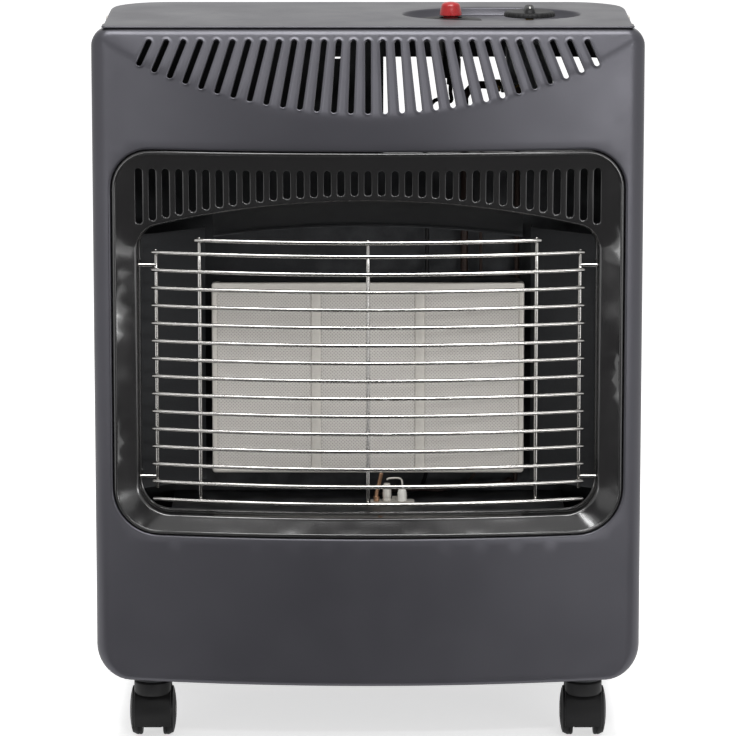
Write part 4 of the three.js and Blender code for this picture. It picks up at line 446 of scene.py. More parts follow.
class FinishSettings(bpy.types.PropertyGroup):
    """Colours of the finishes."""
    paint: bpy.props.FloatVectorProperty(
        name="Paint", description="Satin paint of the cabinet", default=(0.060, 0.059, 0.069), size=3,
        min=0, max=1, subtype="COLOR")
    enamel: bpy.props.FloatVectorProperty(
        name="Enamel", description="Gloss enamel of the surround", default=(0.013, 0.0127, 0.013), size=3,
        min=0, max=1, subtype="COLOR")
    ceramic: bpy.props.FloatVectorProperty(
        name="Ceramic", description="Fired ceramic of the plaques", default=(0.56, 0.537, 0.505), size=3,
        min=0, max=1, subtype="COLOR")
    button: bpy.props.FloatVectorProperty(
        name="Button", description="Red plastic of the igniter button", default=(0.30, 0.006, 0.008),
        size=3, min=0, max=1, subtype="COLOR")
    moulding: bpy.props.FloatVectorProperty(
        name="Mouldings", description="Black plastic of knob and casters", default=(0.006, 0.006, 0.0063),
        size=3, min=0, max=1, subtype="COLOR")


def node(tree, kind, inputs=None, **settings):
    """Add a node. Its inputs are values or the sockets of other nodes."""
    made = tree.nodes.new("ShaderNode" + kind)
    for name, value in settings.items():
        setattr(made, name, value)
    for key, value in (inputs or {}).items():
        if isinstance(value, bpy.types.NodeSocket):
            tree.links.new(value, made.inputs[key])
        else:
            made.inputs[key].default_value = value
    return made


def effect_group(name, inputs, outputs, build):
    """A shader node group with named inputs and outputs."""
    tree = bpy.data.node_groups.new(name, "ShaderNodeTree")
    for label, kind, value in inputs:
        socket = tree.interface.new_socket(name=label, in_out="INPUT", socket_type="NodeSocket" + kind)
        socket.default_value = value
    for label, kind in outputs:
        tree.interface.new_socket(name=label, in_out="OUTPUT", socket_type="NodeSocket" + kind)
    start, end = tree.nodes.new("NodeGroupInput"), tree.nodes.new("NodeGroupOutput")
    for label, socket in build(tree, start.outputs).items():
        tree.links.new(socket, end.inputs[label])
    return tree


def place_of(tree):
    """The place on the piece, in metres."""
    return node(tree, "TexCoord").outputs["Object"]


def noise(tree, scale, detail):
    """Noise between 0 and 1, fixed to the piece."""
    return node(tree, "TexNoise", {"Vector": place_of(tree), "Scale": scale, "Detail": detail}).outputs["Fac"]


def combined(tree, operation, first, second):
    """The result of one calculation with two values."""
    return node(tree, "Math", {0: first, 1: second}, operation=operation).outputs[0]


def ranged(tree, value, low, high, to_low=0.0, to_high=1.0):
    """A value taken from one range to another and held within it."""
    limits = {"Value": value, "From Min": low, "From Max": high, "To Min": to_low, "To Max": to_high}
    return node(tree, "MapRange", limits).outputs[0]


def blended(tree, share, first, second):
    """Two colours mixed by a share."""
    return node(tree, "Mix", {"Factor": share, "A": first, "B": second}, data_type="RGBA").outputs["Result"]


def build_tone(tree, given):
    """Two shades of a colour in soft clouds and fine grain."""
    clouds = noise(tree, given["Cloud scale"], 4.0)
    grain = noise(tree, given["Grain scale"], 2.0)
    share = ranged(tree, combined(tree, "ADD", clouds, grain), 0.7, 1.3)
    return {"Color": blended(tree, share, given["Dark"], given["Light"])}


def build_range(tree, given):
    """A value that wanders between two limits."""
    return {"Value": ranged(tree, noise(tree, given["Scale"], 5.0), 0.3, 0.7, given["Low"], given["High"])}


def build_relief(tree, given):
    """Fine relief of a sprayed, cast or moulded surface."""
    grain = noise(tree, given["Scale"], 3.0)
    relief = node(tree, "Bump", {"Height": grain, "Strength": given["Strength"], "Distance": given["Depth"]})
    return {"Normal": relief.outputs["Normal"]}


def build_wear(tree, given):
    """Edges that are rubbed a little, broken up by noise."""
    edge = ranged(tree, node(tree, "NewGeometry").outputs["Pointiness"], 0.53, 0.62)
    broken = ranged(tree, noise(tree, 60.0, 6.0), 0.4, 0.65)
    return {"Mask": combined(tree, "MULTIPLY", combined(tree, "MULTIPLY", edge, broken), given["Amount"])}


def build_dust(tree, given):
    """Thin dust where a face looks up."""
    normal = node(tree, "SeparateXYZ", {"Vector": node(tree, "NewGeometry").outputs["Normal"]})
    facing_up = ranged(tree, normal.outputs["Z"], 0.35, 1.0)
    broken = ranged(tree, noise(tree, 70.0, 10.0), 0.35, 0.75)
    return {
        "Mask": combined(tree, "MULTIPLY", combined(tree, "MULTIPLY", facing_up, broken), given["Amount"])}


def build_perforation(tree, given):
    """Staggered rows of small round holes in an upright face. The plaques use the mask for the holes' bump and
    their painted shade.
    """
    place = node(tree, "SeparateXYZ", {"Vector": place_of(tree)})
    start = 100.25  # keeps the values positive and the rows off the middle
    distances = []
    for shift in (0.0, 0.5):
        across = []
        for axis in ("X", "Z"):
            scaled = combined(tree, "DIVIDE", place.outputs[axis], given["Pitch"])
            moved = combined(tree, "ADD", scaled, start + shift)
            part = node(tree, "Math", {0: moved}, operation="FRACT").outputs[0]
            across.append(combined(tree, "SUBTRACT", part, 0.5))
        flat = node(tree, "CombineXYZ", {"X": across[0], "Y": across[1]})
        distances.append(node(tree, "VectorMath", {0: flat.outputs[0]}, operation="LENGTH").outputs["Value"])
    least = combined(tree, "MINIMUM", *distances)
    return {"Mask": ranged(tree, least, 0.15, 0.23, 1.0, 0.0)}


def build_brushed(tree, given):
    """Fine streaks of drawn or rolled metal along one axis."""
    stretched = node(tree, "VectorMath", {0: place_of(tree), 1: given["Stretch"]}, operation="MULTIPLY")
    streaks = node(tree, "TexNoise", {"Vector": stretched.outputs[0], "Scale": 1.0, "Detail": 4.0})
    return {"Value": ranged(tree, streaks.outputs["Fac"], 0.3, 0.7, given["Low"], given["High"])}


def make_effects():
    """The shared node groups, with the inputs that each finish sets."""
    dark, light = (0.1, 0.1, 0.1, 1), (0.2, 0.2, 0.2, 1)
    tone = [
        ("Dark", "Color", dark), ("Light", "Color", light), ("Cloud scale", "Float", 6.0),
        ("Grain scale", "Float", 900.0)]
    limits = [("Scale", "Float", 20.0), ("Low", "Float", 0.3), ("High", "Float", 0.5)]
    relief = [("Scale", "Float", 900.0), ("Strength", "Float", 0.1), ("Depth", "Float", 0.0002)]
    amount = [("Amount", "Float", 0.2)]
    pitch = [("Pitch", "Float", 0.003)]
    streaks = [("Stretch", "Vector", (40.0, 2000.0, 2000.0)), ("Low", "Float", 0.2), ("High", "Float", 0.4)]
    return {
        "tone": effect_group("Tone", tone, [("Color", "Color")], build_tone),
        "range": effect_group("Range", limits, [("Value", "Float")], build_range),
        "relief": effect_group("Relief", relief, [("Normal", "Vector")], build_relief),
        "wear": effect_group("Edge wear", amount, [("Mask", "Float")], build_wear),
        "dust": effect_group("Settled dust", amount, [("Mask", "Float")], build_dust),
        "perforation": effect_group("Perforation", pitch, [("Mask", "Float")], build_perforation),
        "brushed": effect_group("Brushed", streaks, [("Value", "Float")], build_brushed),
    }


FINISHES = {}


def linear(hex_color):
    """An sRGB colour written as #rrggbb, as linear light."""
    parts = [int(hex_color[i:i + 2], 16) / 255 for i in (1, 3, 5)]
    return tuple(c / 12.92 if c <= 0.04045 else ((c + 0.055) / 1.055) ** 2.4 for c in parts)


def shaded(color, factor):
    """A colour made lighter or darker, with full alpha."""
    return (*(min(1.0, c * factor) for c in color), 1.0)


class HEATER_OT_finishes(bpy.types.Operator):
    """Make the finishes and give them to the frame's pieces"""
    bl_idname = "heater.finishes"
    bl_label = "Finishes"

    def execute(self, context):
        settings = context.scene.heater_finishes
        self.effects = make_effects()
        paint, enamel, moulding = tuple(settings.paint), tuple(settings.enamel), tuple(settings.moulding)
        steel = linear("#2b2c2e")
        self.finish(
            "graphite_paint", paint, (0.94, 1.07), (0.32, 0.40), 0.55, (2600, 0.12),
            wear=(0.25, linear("#8f9095")), dust=0.03, grain=3000)
        self.finish(
            "black_enamel", enamel, (0.9, 1.15), (0.10, 0.17), 0.0, (160, 0.006), dust=0.02,
            specular=0.85)
        self.finish(
            "dark_steel", steel, (0.8, 1.1), (0.42, 0.60), 0.6, (700, 0.15),
            wear=(0.3, linear("#6c6d70")), dust=0.05)
        self.finish(
            "bright_steel", linear("#cfcbc4"), (0.9, 1.05), (0.40, 0.55), 0.35, (900, 0.1),
            streaks=(2000.0, 2000.0, 60.0))
        self.finish(
            "chrome_wire", linear("#bbb9b6"), (0.92, 1.04), (0.14, 0.24), 1.0, (1200, 0.04),
            streaks=(90.0, 2500.0, 2500.0))
        self.finish(
            "black_plastic", moulding, (0.85, 1.25), (0.42, 0.55), 0.0, (1500, 0.25),
            wear=(0.2, linear("#3a3a3c")), dust=0.01, specular=0.18)
        self.finish(
            "red_plastic", tuple(settings.button), (0.9, 1.1), (0.22, 0.32), 0.0, (800, 0.03), dust=0.005)
        self.finish("brass", linear("#806c44"), (0.7, 1.1), (0.28, 0.45), 0.9, (600, 0.1))
        self.finish("copper", linear("#b58f72"), (0.75, 1.1), (0.30, 0.45), 0.9, (600, 0.1))
        # Copper of the pipes and leads painted nearly black as painted shade of the dark space behind the
        # burner, not tarnish.
        self.finish(
            "shade_darkened_copper", linear("#2e211c"), (0.5, 1.3), (0.50, 0.65), 0.5, (500, 0.15),
            slot="copper")
        self.finish("die_cast", linear("#6f7174"), (0.75, 1.1), (0.42, 0.58), 0.7, (1100, 0.3))
        self.finish(
            "glazed_ceramic", linear("#e2e0da"), (0.95, 1.02), (0.15, 0.25), 0.0, (400, 0.03),
            slot="ceramic")
        self.plaques("ceramic", tuple(settings.ceramic))
        for subpart in frame["record"]["subparts"]:
            carried = frame["nodes"][subpart["node"]]
            carried.data.materials.clear()
            carried.data.materials.append(FINISHES[subpart["material_slot"]])
        return {"FINISHED"}

    def group(self, tree, effect, **inputs):
        """Add one of the shared effects and give back its output."""
        made = tree.nodes.new("ShaderNodeGroup")
        made.node_tree = self.effects[effect]
        for name, value in inputs.items():
            made.inputs[name.replace("_", " ")].default_value = value
        return made.outputs[0]

    def material(self, name, slot, metallic):
        """Start a finish. The material slot that it stands for is given but not used."""
        made = bpy.data.materials.new(name)
        made.use_nodes = True
        shader = made.node_tree.nodes["Principled BSDF"]
        shader.inputs["Metallic"].default_value = metallic
        FINISHES[name] = made
        return made.node_tree, shader

    def finish(
            self, name, color, shades, roughness, metallic, relief, wear=None, dust=0.0, streaks=None,
            slot=None, grain=900.0, specular=0.5):
        """A finish: its colour in two shades, a range of roughness, fine relief, worn edges and dust."""
        tree, shader = self.material(name, slot, metallic)
        shader.inputs["Specular IOR Level"].default_value = specular
        dark, light = shaded(color, shades[0]), shaded(color, shades[1])
        tone = self.group(tree, "tone", Dark=dark, Light=light, Grain_scale=grain)
        if wear:
            amount, worn = wear
            mask = self.group(tree, "wear", Amount=amount)
            tone = blended(tree, mask, tone, (*worn, 1))
        if dust:
            mask = self.group(tree, "dust", Amount=dust)
            tone = blended(tree, mask, tone, (*linear("#b8b4ac"), 1))
        tree.links.new(tone, shader.inputs["Base Color"])
        low, high = roughness
        if streaks:
            rough = self.group(tree, "brushed", Stretch=streaks, Low=low, High=high)
        else:
            rough = self.group(tree, "range", Low=low, High=high)
        tree.links.new(rough, shader.inputs["Roughness"])
        scale, strength = relief
        tree.links.new(self.group(tree, "relief", Scale=scale, Strength=strength), shader.inputs["Normal"])

    def plaques(self, name, color):
        """Off-white ceramic with staggered rows of burner holes, the holes painted darker as painted shade
        inside them and sunk by a bump.
        """
        tree, shader = self.material(name, name, 0.0)
        tone = self.group(
            tree, "tone", Dark=shaded(color, 0.9), Light=shaded(color, 1.06), Cloud_scale=14.0,
            Grain_scale=1500.0)
        holes = self.group(tree, "perforation", Pitch=0.0027)
        facing = node(
            tree, "SeparateXYZ", {"Vector": node(tree, "NewGeometry").outputs["Normal"]}).outputs["Y"]
        front = combined(tree, "LESS_THAN", facing, -0.9)
        share = combined(tree, "MULTIPLY", holes, front)
        # The holes on the front face are painted darker: painted shade inside the holes.
        mixed = blended(tree, share, tone, shaded(color, 0.62))
        tree.links.new(mixed, shader.inputs["Base Color"])
        tree.links.new(self.group(tree, "range", Scale=30.0, Low=0.8, High=0.95), shader.inputs["Roughness"])
        deep = node(tree, "Bump", {"Height": share, "Strength": 0.5, "Distance": 0.0006}, invert=True)
        tree.links.new(deep.outputs["Normal"], shader.inputs["Normal"])

# ---- Front panel: bowed tray with a sloping louvre face ----

class FrontSettings(bpy.types.PropertyGroup):
    """Front panel and its louvres."""
    side_roll: bpy.props.FloatProperty(
        name="Side roll", description="Radius of the rolled side edges", default=12 * MM, unit="LENGTH")
    top_roll: bpy.props.FloatProperty(
        name="Top roll", description="Radius of the rolled top edge", default=5 * MM, unit="LENGTH")
    foot_roll: bpy.props.FloatProperty(
        name="Foot roll", description="Radius of the rolled lower edge", default=3.5 * MM, unit="LENGTH")
    crease: bpy.props.FloatProperty(
        name="Crease", description="Softness of the crease under the louvre face", default=1.6 * MM,
        unit="LENGTH")
    louvre_width: bpy.props.FloatProperty(
        name="Louvre width", description="Width of each slot", default=4.2 * MM, unit="LENGTH")
    louvre_pairs: bpy.props.IntProperty(
        name="Louvre pairs", description="Slots on each side of the middle one", default=14, min=1,
        max=14)
    rim_rise: bpy.props.FloatProperty(
        name="Rim rise", description="Height of the pressed rim round each slot", default=0.45 * MM,
        unit="LENGTH")


PANEL_CORNERS = (26 * MM, 26 * MM, 14 * MM, 14 * MM)
LOUVRE_PITCH = 10.99 * MM
LOUVRE_SPREAD = 0.00406 * MM
LOUVRE_TOP_MARGIN = 9 * MM
LOUVRE_FOOT_MARGIN = 3 * MM
LOUVRE_FOOT_RADIUS = 420 * MM
LOUVRE_LEAN = 1.95  # degrees more for each slot away from the middle
LOUVRE_LEAN_EASE = 0.0008  # how much less the outer slots lean
# mm outside the slot, and height as a share of the rim's rise
RIM_LOOPS = ((3.0, 0.0), (2.1, 0.0), (1.3, 0.7), (0.7, 1.0), (0.2, 0.5), (0.0, -0.5), (0.0, -6.5))


def front_surface(x, z, crease):
    """Depth behind the most forward line: the bow and the louvre face, blended along their crease."""
    curve, slope = bow(x), (z - FACET_FOOT) * math.tan(FACET_LEAN)
    return (curve + slope + math.sqrt((curve - slope) ** 2 + crease ** 2)) / 2


def louvre_outline(number, width):
    """One slot in the plane of the louvre face, as (across, rise from the top edge)."""
    lean = math.radians(LOUVRE_LEAN * number * (1 - LOUVRE_LEAN_EASE * number ** 2))
    top = (LOUVRE_PITCH * number + LOUVRE_SPREAD * number ** 3, -LOUVRE_TOP_MARGIN)
    slope = FACET_RUN / math.sin(FACET_LEAN)
    length = slope - LOUVRE_TOP_MARGIN - LOUVRE_FOOT_MARGIN
    for _ in range(4):
        foot_x = top[0] + length * math.sin(lean)
        drop = math.sqrt(LOUVRE_FOOT_RADIUS ** 2 - foot_x ** 2)
        foot_rise = LOUVRE_FOOT_MARGIN - slope + LOUVRE_FOOT_RADIUS - drop
        length = (top[1] - foot_rise) / math.cos(lean)
    head = (top[0] + width / 2 * math.sin(lean), top[1] - width / 2 * math.cos(lean))
    foot = (top[0] + (length - width / 2) * math.sin(lean), top[1] - (length - width / 2) * math.cos(lean))
    sides = [
        (foot[0] + (head[0] - foot[0]) * t, foot[1] + (head[1] - foot[1]) * t) for t in (0.25, 0.5, 0.75)]
    across = (width / 2 * math.cos(lean), width / 2 * math.sin(lean))
    turn = math.degrees(lean)
    points = arc(foot, width / 2, 180 + turn, 360 + turn, 8)
    points += [(x + across[0], z + across[1]) for x, z in sides]
    points += arc(head, width / 2, turn, 180 + turn, 8)
    points += [(x - across[0], z - across[1]) for x, z in reversed(sides)]
    return points


class HEATER_OT_front_panel(bpy.types.Operator):
    """Make the bowed front panel with its pressed louvres"""
    bl_idname = "heater.front_panel"
    bl_label = "Front panel"

    def execute(self, context):
        settings = context.scene.heater_front
        surface = lambda x, z: front_surface(x, z, settings.crease)
        shell = Shell()
        outline = even(
            rounded_outline(-HALF_WIDTH, PANEL_LOW, HALF_WIDTH, PANEL_HIGH, PANEL_CORNERS, 10), 7 * MM)
        normals, _ = outline_normals(outline)
        across, upright = normals[:, 0] ** 2, normals[:, 1] ** 2
        ends = np.where(normals[:, 1] < 0, settings.top_roll, settings.foot_roll)
        roll = across * settings.side_roll + upright * ends
        depth = across * settings.side_roll * 0.78 + upright * ends
        rows = []
        flange = 18 * MM * across + np.where(normals[:, 1] < 0, 7, 18) * MM * upright
        rows.append([(x, PANEL_REAR, z) for x, z in inset(outline, flange)])
        rows.append([(x, PANEL_REAR, z) for x, z in inset(outline, 1.2 * MM)])
        rows.append([(x, PANEL_REAR - 0.6 * MM, z) for x, z in inset(outline, 0.3 * MM)])
        rows.append([(x, PANEL_REAR - 1.5 * MM, z) for x, z in outline])
        for angle in reversed(quarter(8)):
            row = inset(outline, roll * (1 - math.sin(angle)))
            sunk = depth * (1 - math.cos(angle))
            rows.append([(x, behind(surface(x, z) + d), z) for (x, z), d in zip(row, sunk)])
        outer = [(p[0], p[2]) for p in rows[-1]]
        rings = [shell.rings(rows)[-1]]
        hole = surround_outline(-0.8 * MM)
        hole_rows = [
            [(x, behind(surface(x, z) + d), z) for x, z in inset(hole, -out)] for out,
            d in self.hole_loops()]
        rings.append(shell.rings(hole_rows)[0])
        holes = [inset(hole, -self.hole_loops()[0][0])]
        for number in range(-settings.louvre_pairs, settings.louvre_pairs + 1):
            slot = louvre_outline(number, settings.louvre_width)
            loops = []
            for out, share in RIM_LOOPS:
                row = inset(slot, -out * MM)
                loops.append([self.on_slope(x, rise, share * settings.rim_rise, surface) for x, rise in row])
            rings.append(shell.rings(loops)[0])
            holes.append([(p[0], p[2]) for p in loops[0]])
        creases = []
        for offset in (-7, -4.5, -2.8, -1.6, -0.7, 0, 0.7, 1.6, 2.8, 4.5, 7):
            for x in np.arange(-HALF_WIDTH, HALF_WIDTH, 5 * MM):
                creases.append((x, FACET_FOOT + bow(x) / math.tan(FACET_LEAN) + offset * MM))
        shell.skin(outer, holes, lambda p: (p[0], behind(surface(p[0], p[1])), p[1]), 9 * MM, rings, creases)
        panel = shell.piece("pressed_front_panel", "cabinet", SHEET, (0, -1, 0))
        dress(panel, "graphite_paint")
        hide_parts("front_panel")
        return {"FINISHED"}

    def hole_loops(self):
        """Loops of the surround's hole as (distance outside, depth): a rounded edge and a short flange."""
        turn = 2.0 * MM
        loops = [(turn * (1 - math.sin(a)), turn * (1 - math.cos(a))) for a in quarter(4)]
        return loops + [(0, 8 * MM)]

    def on_slope(self, x, rise, height, surface):
        """A place on the louvre face, raised by a height square to it."""
        z = PANEL_HIGH + rise * math.cos(FACET_LEAN)
        y = behind(surface(x, z))
        return (x, y - height * math.cos(FACET_LEAN), z + height * math.sin(FACET_LEAN))

# ---- Burner surround: enamelled pressing with an arched window ----

class SurroundSettings(bpy.types.PropertyGroup):
    """Burner surround and its slots."""
    bead_width: bpy.props.FloatProperty(
        name="Bead width", description="Width of the rounded bead round the outside", default=3 * MM,
        unit="LENGTH")
    land_drop: bpy.props.FloatProperty(
        name="Land drop", description="How far the land slopes in", default=9 * MM, unit="LENGTH")
    slot_pitch: bpy.props.FloatProperty(
        name="Slot pitch", description="Distance between the upright slots", default=10.25 * MM,
        unit="LENGTH")
    slot_width: bpy.props.FloatProperty(
        name="Slot width", description="Width of each upright slot", default=5 * MM, unit="LENGTH")
    slot_pairs: bpy.props.IntProperty(
        name="Slot pairs", description="Slots on each side of the middle one", default=17, min=1, max=17)


SURROUND_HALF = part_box("burner_surround")[1][0]
SURROUND_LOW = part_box("burner_surround")[0][2]
SURROUND_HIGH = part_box("burner_surround")[1][2]
WINDOW_HALF = SURROUND_HALF - 19 * MM
WINDOW_LOW = SURROUND_LOW + 14 * MM
WINDOW_HIGH = SURROUND_HIGH - 38 * MM
WINDOW_ARCH = 640 * MM
WINDOW_WALL = 24 * MM
SURROUND_SHEET = 1.5 * MM


def arched_outline(half, low, high, arch, low_corner, high_corner, inward, steps=10, top_steps=48):
    """Outline with an arched top, the same number of points at every inset."""
    w = half - inward
    low_radius, high_radius = max(low_corner - inward, 0.5 * MM), max(high_corner - inward, 0.5 * MM)
    radius, centre = arch - inward, high - arch
    corner_x = w - high_radius
    corner_z = centre + math.sqrt((radius - high_radius) ** 2 - corner_x ** 2)
    end = math.degrees(math.atan2(corner_z - centre, corner_x))
    floor = low + inward
    points = arc((w - low_radius, floor + low_radius), low_radius, -90, 0, steps)
    side = np.linspace(floor + low_radius, corner_z, 20)[1:-1]
    points += [(w, z) for z in side]
    points += arc((corner_x, corner_z), high_radius, 0, end, steps)
    points += arc((0, centre), radius, end, 180 - end, top_steps)[1:-1]
    points += arc((-corner_x, corner_z), high_radius, 180 - end, 180, steps)
    points += [(-w, z) for z in reversed(side)]
    points += arc((low_radius - w, floor + low_radius), low_radius, 180, 270, steps)
    points += [(x, floor) for x in np.linspace(low_radius - w, w - low_radius, top_steps)[1:-1]]
    return points


def surround_outline(inward=0.0):
    """Outside of the burner surround."""
    return arched_outline(SURROUND_HALF, SURROUND_LOW, SURROUND_HIGH, 1e5 * MM, 34 * MM, 30 * MM, inward)


def window_outline(inward=0.0):
    """Arched window of the burner surround."""
    return arched_outline(WINDOW_HALF, WINDOW_LOW, WINDOW_HIGH, WINDOW_ARCH, 24 * MM, 18 * MM, inward)


def window_arch(x):
    """Height of the window's arch at a place across it."""
    return WINDOW_HIGH - WINDOW_ARCH + math.sqrt(WINDOW_ARCH ** 2 - x ** 2)


class HEATER_OT_surround(bpy.types.Operator):
    """Make the enamelled surround with its slots and its window"""
    bl_idname = "heater.surround"
    bl_label = "Burner surround"

    def execute(self, context):
        settings = context.scene.heater_surround
        shell = Shell()
        on_bow = lambda points, depth: [(x, behind(bow(x) + depth), z) for x, z in points]
        crown, bead = 0.3 * MM, settings.bead_width
        rows = [on_bow(surround_outline(), 5 * MM), on_bow(surround_outline(), 2 * MM)]
        for step in range(9):
            angle = math.pi * step / 8
            level = crown + (1.7 if step < 4 else 1.2) * MM * (1 - math.sin(angle))
            rows.append(on_bow(surround_outline(bead / 2 * (1 - math.cos(angle))), level))
        foot = crown + 1.2 * MM
        outer, inner = surround_outline(bead), window_outline()
        outer_curve, inner_curve = np.array(outer), np.array(inner)
        radius = 2.5 * MM

        def land(point):
            """Place on the land, which slopes from the bead to the window."""
            x, z = point[0], point[1]
            from_bead = math.sqrt(((outer_curve - (x, z)) ** 2).sum(axis=1).min())
            from_window = math.sqrt(((inner_curve - (x, z)) ** 2).sum(axis=1).min())
            share = from_bead / (from_bead + from_window)
            return (x, behind(bow(x) + foot + (settings.land_drop - foot) * share), z)

        lip = window_outline(-radius)
        rings = [shell.rings(rows)[-1]]
        lip_rows = [[land(p) for p in lip]]
        for angle in quarter(5, 1):
            row = window_outline(-radius * (1 - math.sin(angle)))
            base = [land(p)[1] for p in lip]
            turn = radius * (1 - math.cos(angle))
            level = [
                max(b, behind(bow(x) + settings.land_drop - 1.2 * MM)) + turn for b,
                (x, _) in zip(base, row)]
            lip_rows.append([(x, y, z) for (x, z), y in zip(row, level)])
        lip_rows.append(on_bow(window_outline(), WINDOW_WALL - 3 * MM))
        for angle in quarter(4, 1):
            row = window_outline(2 * MM * (1 - math.cos(angle)))
            lip_rows.append(on_bow(row, WINDOW_WALL - 3 * MM + 2.6 * MM * math.sin(angle)))
        rings.append(shell.rings(lip_rows)[0])
        holes = [lip]
        for number in range(-settings.slot_pairs, settings.slot_pairs + 1):
            x = settings.slot_pitch * number
            low = window_arch(x) + 4.6 * MM + settings.slot_width / 2
            high = SURROUND_HIGH - 14.3 * MM - settings.slot_width / 2
            slot = even(capsule((x, low), (x, high), settings.slot_width, 8), 6 * MM)
            loops = []
            for out, depth in ((1.1, 0.0), (0.6, 0.1), (0.25, 0.4), (0.0, 1.1), (0.0, 4.5)):
                ring = inset(slot, -out * MM)
                loops.append([(a, land((a, b))[1] + depth * MM, b) for a, b in ring])
            rings.append(shell.rings(loops)[0])
            holes.append(inset(slot, -1.1 * MM))
        shell.skin(outer, holes, land, 8 * MM, rings)
        surround = shell.piece("enamelled_surround", "cabinet", SURROUND_SHEET * 0.8, (0, -1, 0))
        dress(surround, "black_enamel")
        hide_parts("burner_surround")
        return {"FINISHED"}

# ---- Wire guard ----

class GuardSettings(bpy.types.PropertyGroup):
    """Wire guard in front of the burner."""
    wire: bpy.props.FloatProperty(
        name="Wire", description="Diameter of the wires", default=3 * MM, unit="LENGTH")
    rows: bpy.props.IntProperty(
        name="Rows", description="Number of full bowed wires", default=15, min=2, max=40)
    sag: bpy.props.FloatProperty(
        name="Bow", description="How far the bowed wires stand forward of their ends", default=24 * MM,
        unit="LENGTH")


class HEATER_OT_guard(bpy.types.Operator):
    """Make the plated wires of the guard, with their hooks and weld spots"""
    bl_idname = "heater.guard"
    bl_label = "Wire guard"

    def execute(self, context):
        settings = context.scene.heater_guard
        radius = settings.wire / 2
        half = WINDOW_HALF - 11 * MM
        top, bottom = WINDOW_HIGH - 42 * MM, WINDOW_LOW + 11 * MM
        bend = (half ** 2 + settings.sag ** 2) / (2 * settings.sag)
        depth = lambda x: 6 * MM + bend - math.sqrt(bend ** 2 - x ** 2)
        pitch = (top - bottom) / (settings.rows - 1)
        inner, outer = half - 36.5 * MM, half - 3 * MM
        short = top + 10.5 * MM
        shell = Shell()
        for row in range(settings.rows + 1):
            height = bottom + row * pitch if row < settings.rows else short
            reach = half if row < settings.rows else inner + 3 * MM
            tube(shell, [(x, behind(depth(x)), height) for x in np.linspace(-reach, reach, 41)], radius)
        weld = 0.4 * MM
        back = settings.wire - weld
        crossings = []
        for x in (-inner, 0, inner):
            tube(
                shell,
                [
                    (x, behind(depth(x)) + back, z)
                    for z in np.linspace(bottom - radius, short + radius, 12)],
                radius)
            crossings += [(x, bottom + row * pitch) for row in range(settings.rows)] + [(x, short)]
        low_hook, high_hook = bottom + 1.25 * pitch, top - 0.75 * pitch
        for side in (-1, 1):
            x = side * outer
            y = behind(depth(outer)) + back
            wall = side * (WINDOW_HALF - 0.6 * MM)
            tube(shell, [(x, y, z) for z in np.linspace(bottom + 0.62 * pitch, top + radius, 12)], radius)
            for z in (low_hook, high_hook):
                hook = [(x, y, z), (x + side * 3 * MM, y, z), (wall - side * 2 * MM, y, z), (wall, y, z)]
                tube(shell, smooth_path(hook, 4), radius)
            crossings += [(x, bottom + row * pitch) for row in range(1, settings.rows)]
        for x, z in crossings:
            spot = (x, behind(depth(x)) + back / 2, z)
            profile = [(0, -2.2), (1.1, -1.9), (1.9, -0.8), (1.9, 0.8), (1.1, 1.9), (0, 2.2)]
            lathe(shell, [(r * MM * 0.8, a * MM * 0.6) for r, a in profile], spot, "Y", 10)
        guard = shell.piece("plated_wire_guard", "cabinet")
        dress(guard, "chrome_wire", 60)
        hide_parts("wire_guard")
        return {"FINISHED"}

# ---- Cabinet: top with the control dish, sides, base, rear cover and screws ----

class CabinetSettings(bpy.types.PropertyGroup):
    """Top, sides and rear cover."""
    top_roll: bpy.props.FloatProperty(
        name="Top roll", description="Radius of the rolled edges of the top", default=4 * MM,
        unit="LENGTH")
    dish_length: bpy.props.FloatProperty(
        name="Dish length", description="Length of the oval control dish", default=137 * MM,
        unit="LENGTH")
    dish_breadth: bpy.props.FloatProperty(
        name="Dish breadth", description="Breadth of the oval control dish", default=93 * MM,
        unit="LENGTH")
    louvre_rise: bpy.props.FloatProperty(
        name="Louvre rise", description="Height of the pressed hoods of the rear louvres",
        default=2.6 * MM, unit="LENGTH")


CABINET_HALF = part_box("right_side_panel")[1][0]
TOP_LOW, TOP_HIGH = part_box("top_panel")
DISH = (95.5 * MM, behind(115.5 * MM))
DISH_DROP = 6 * MM
KNOB_X = 125 * MM
BUTTON_X = 64 * MM
BASE_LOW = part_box("base_panel")[0][2]


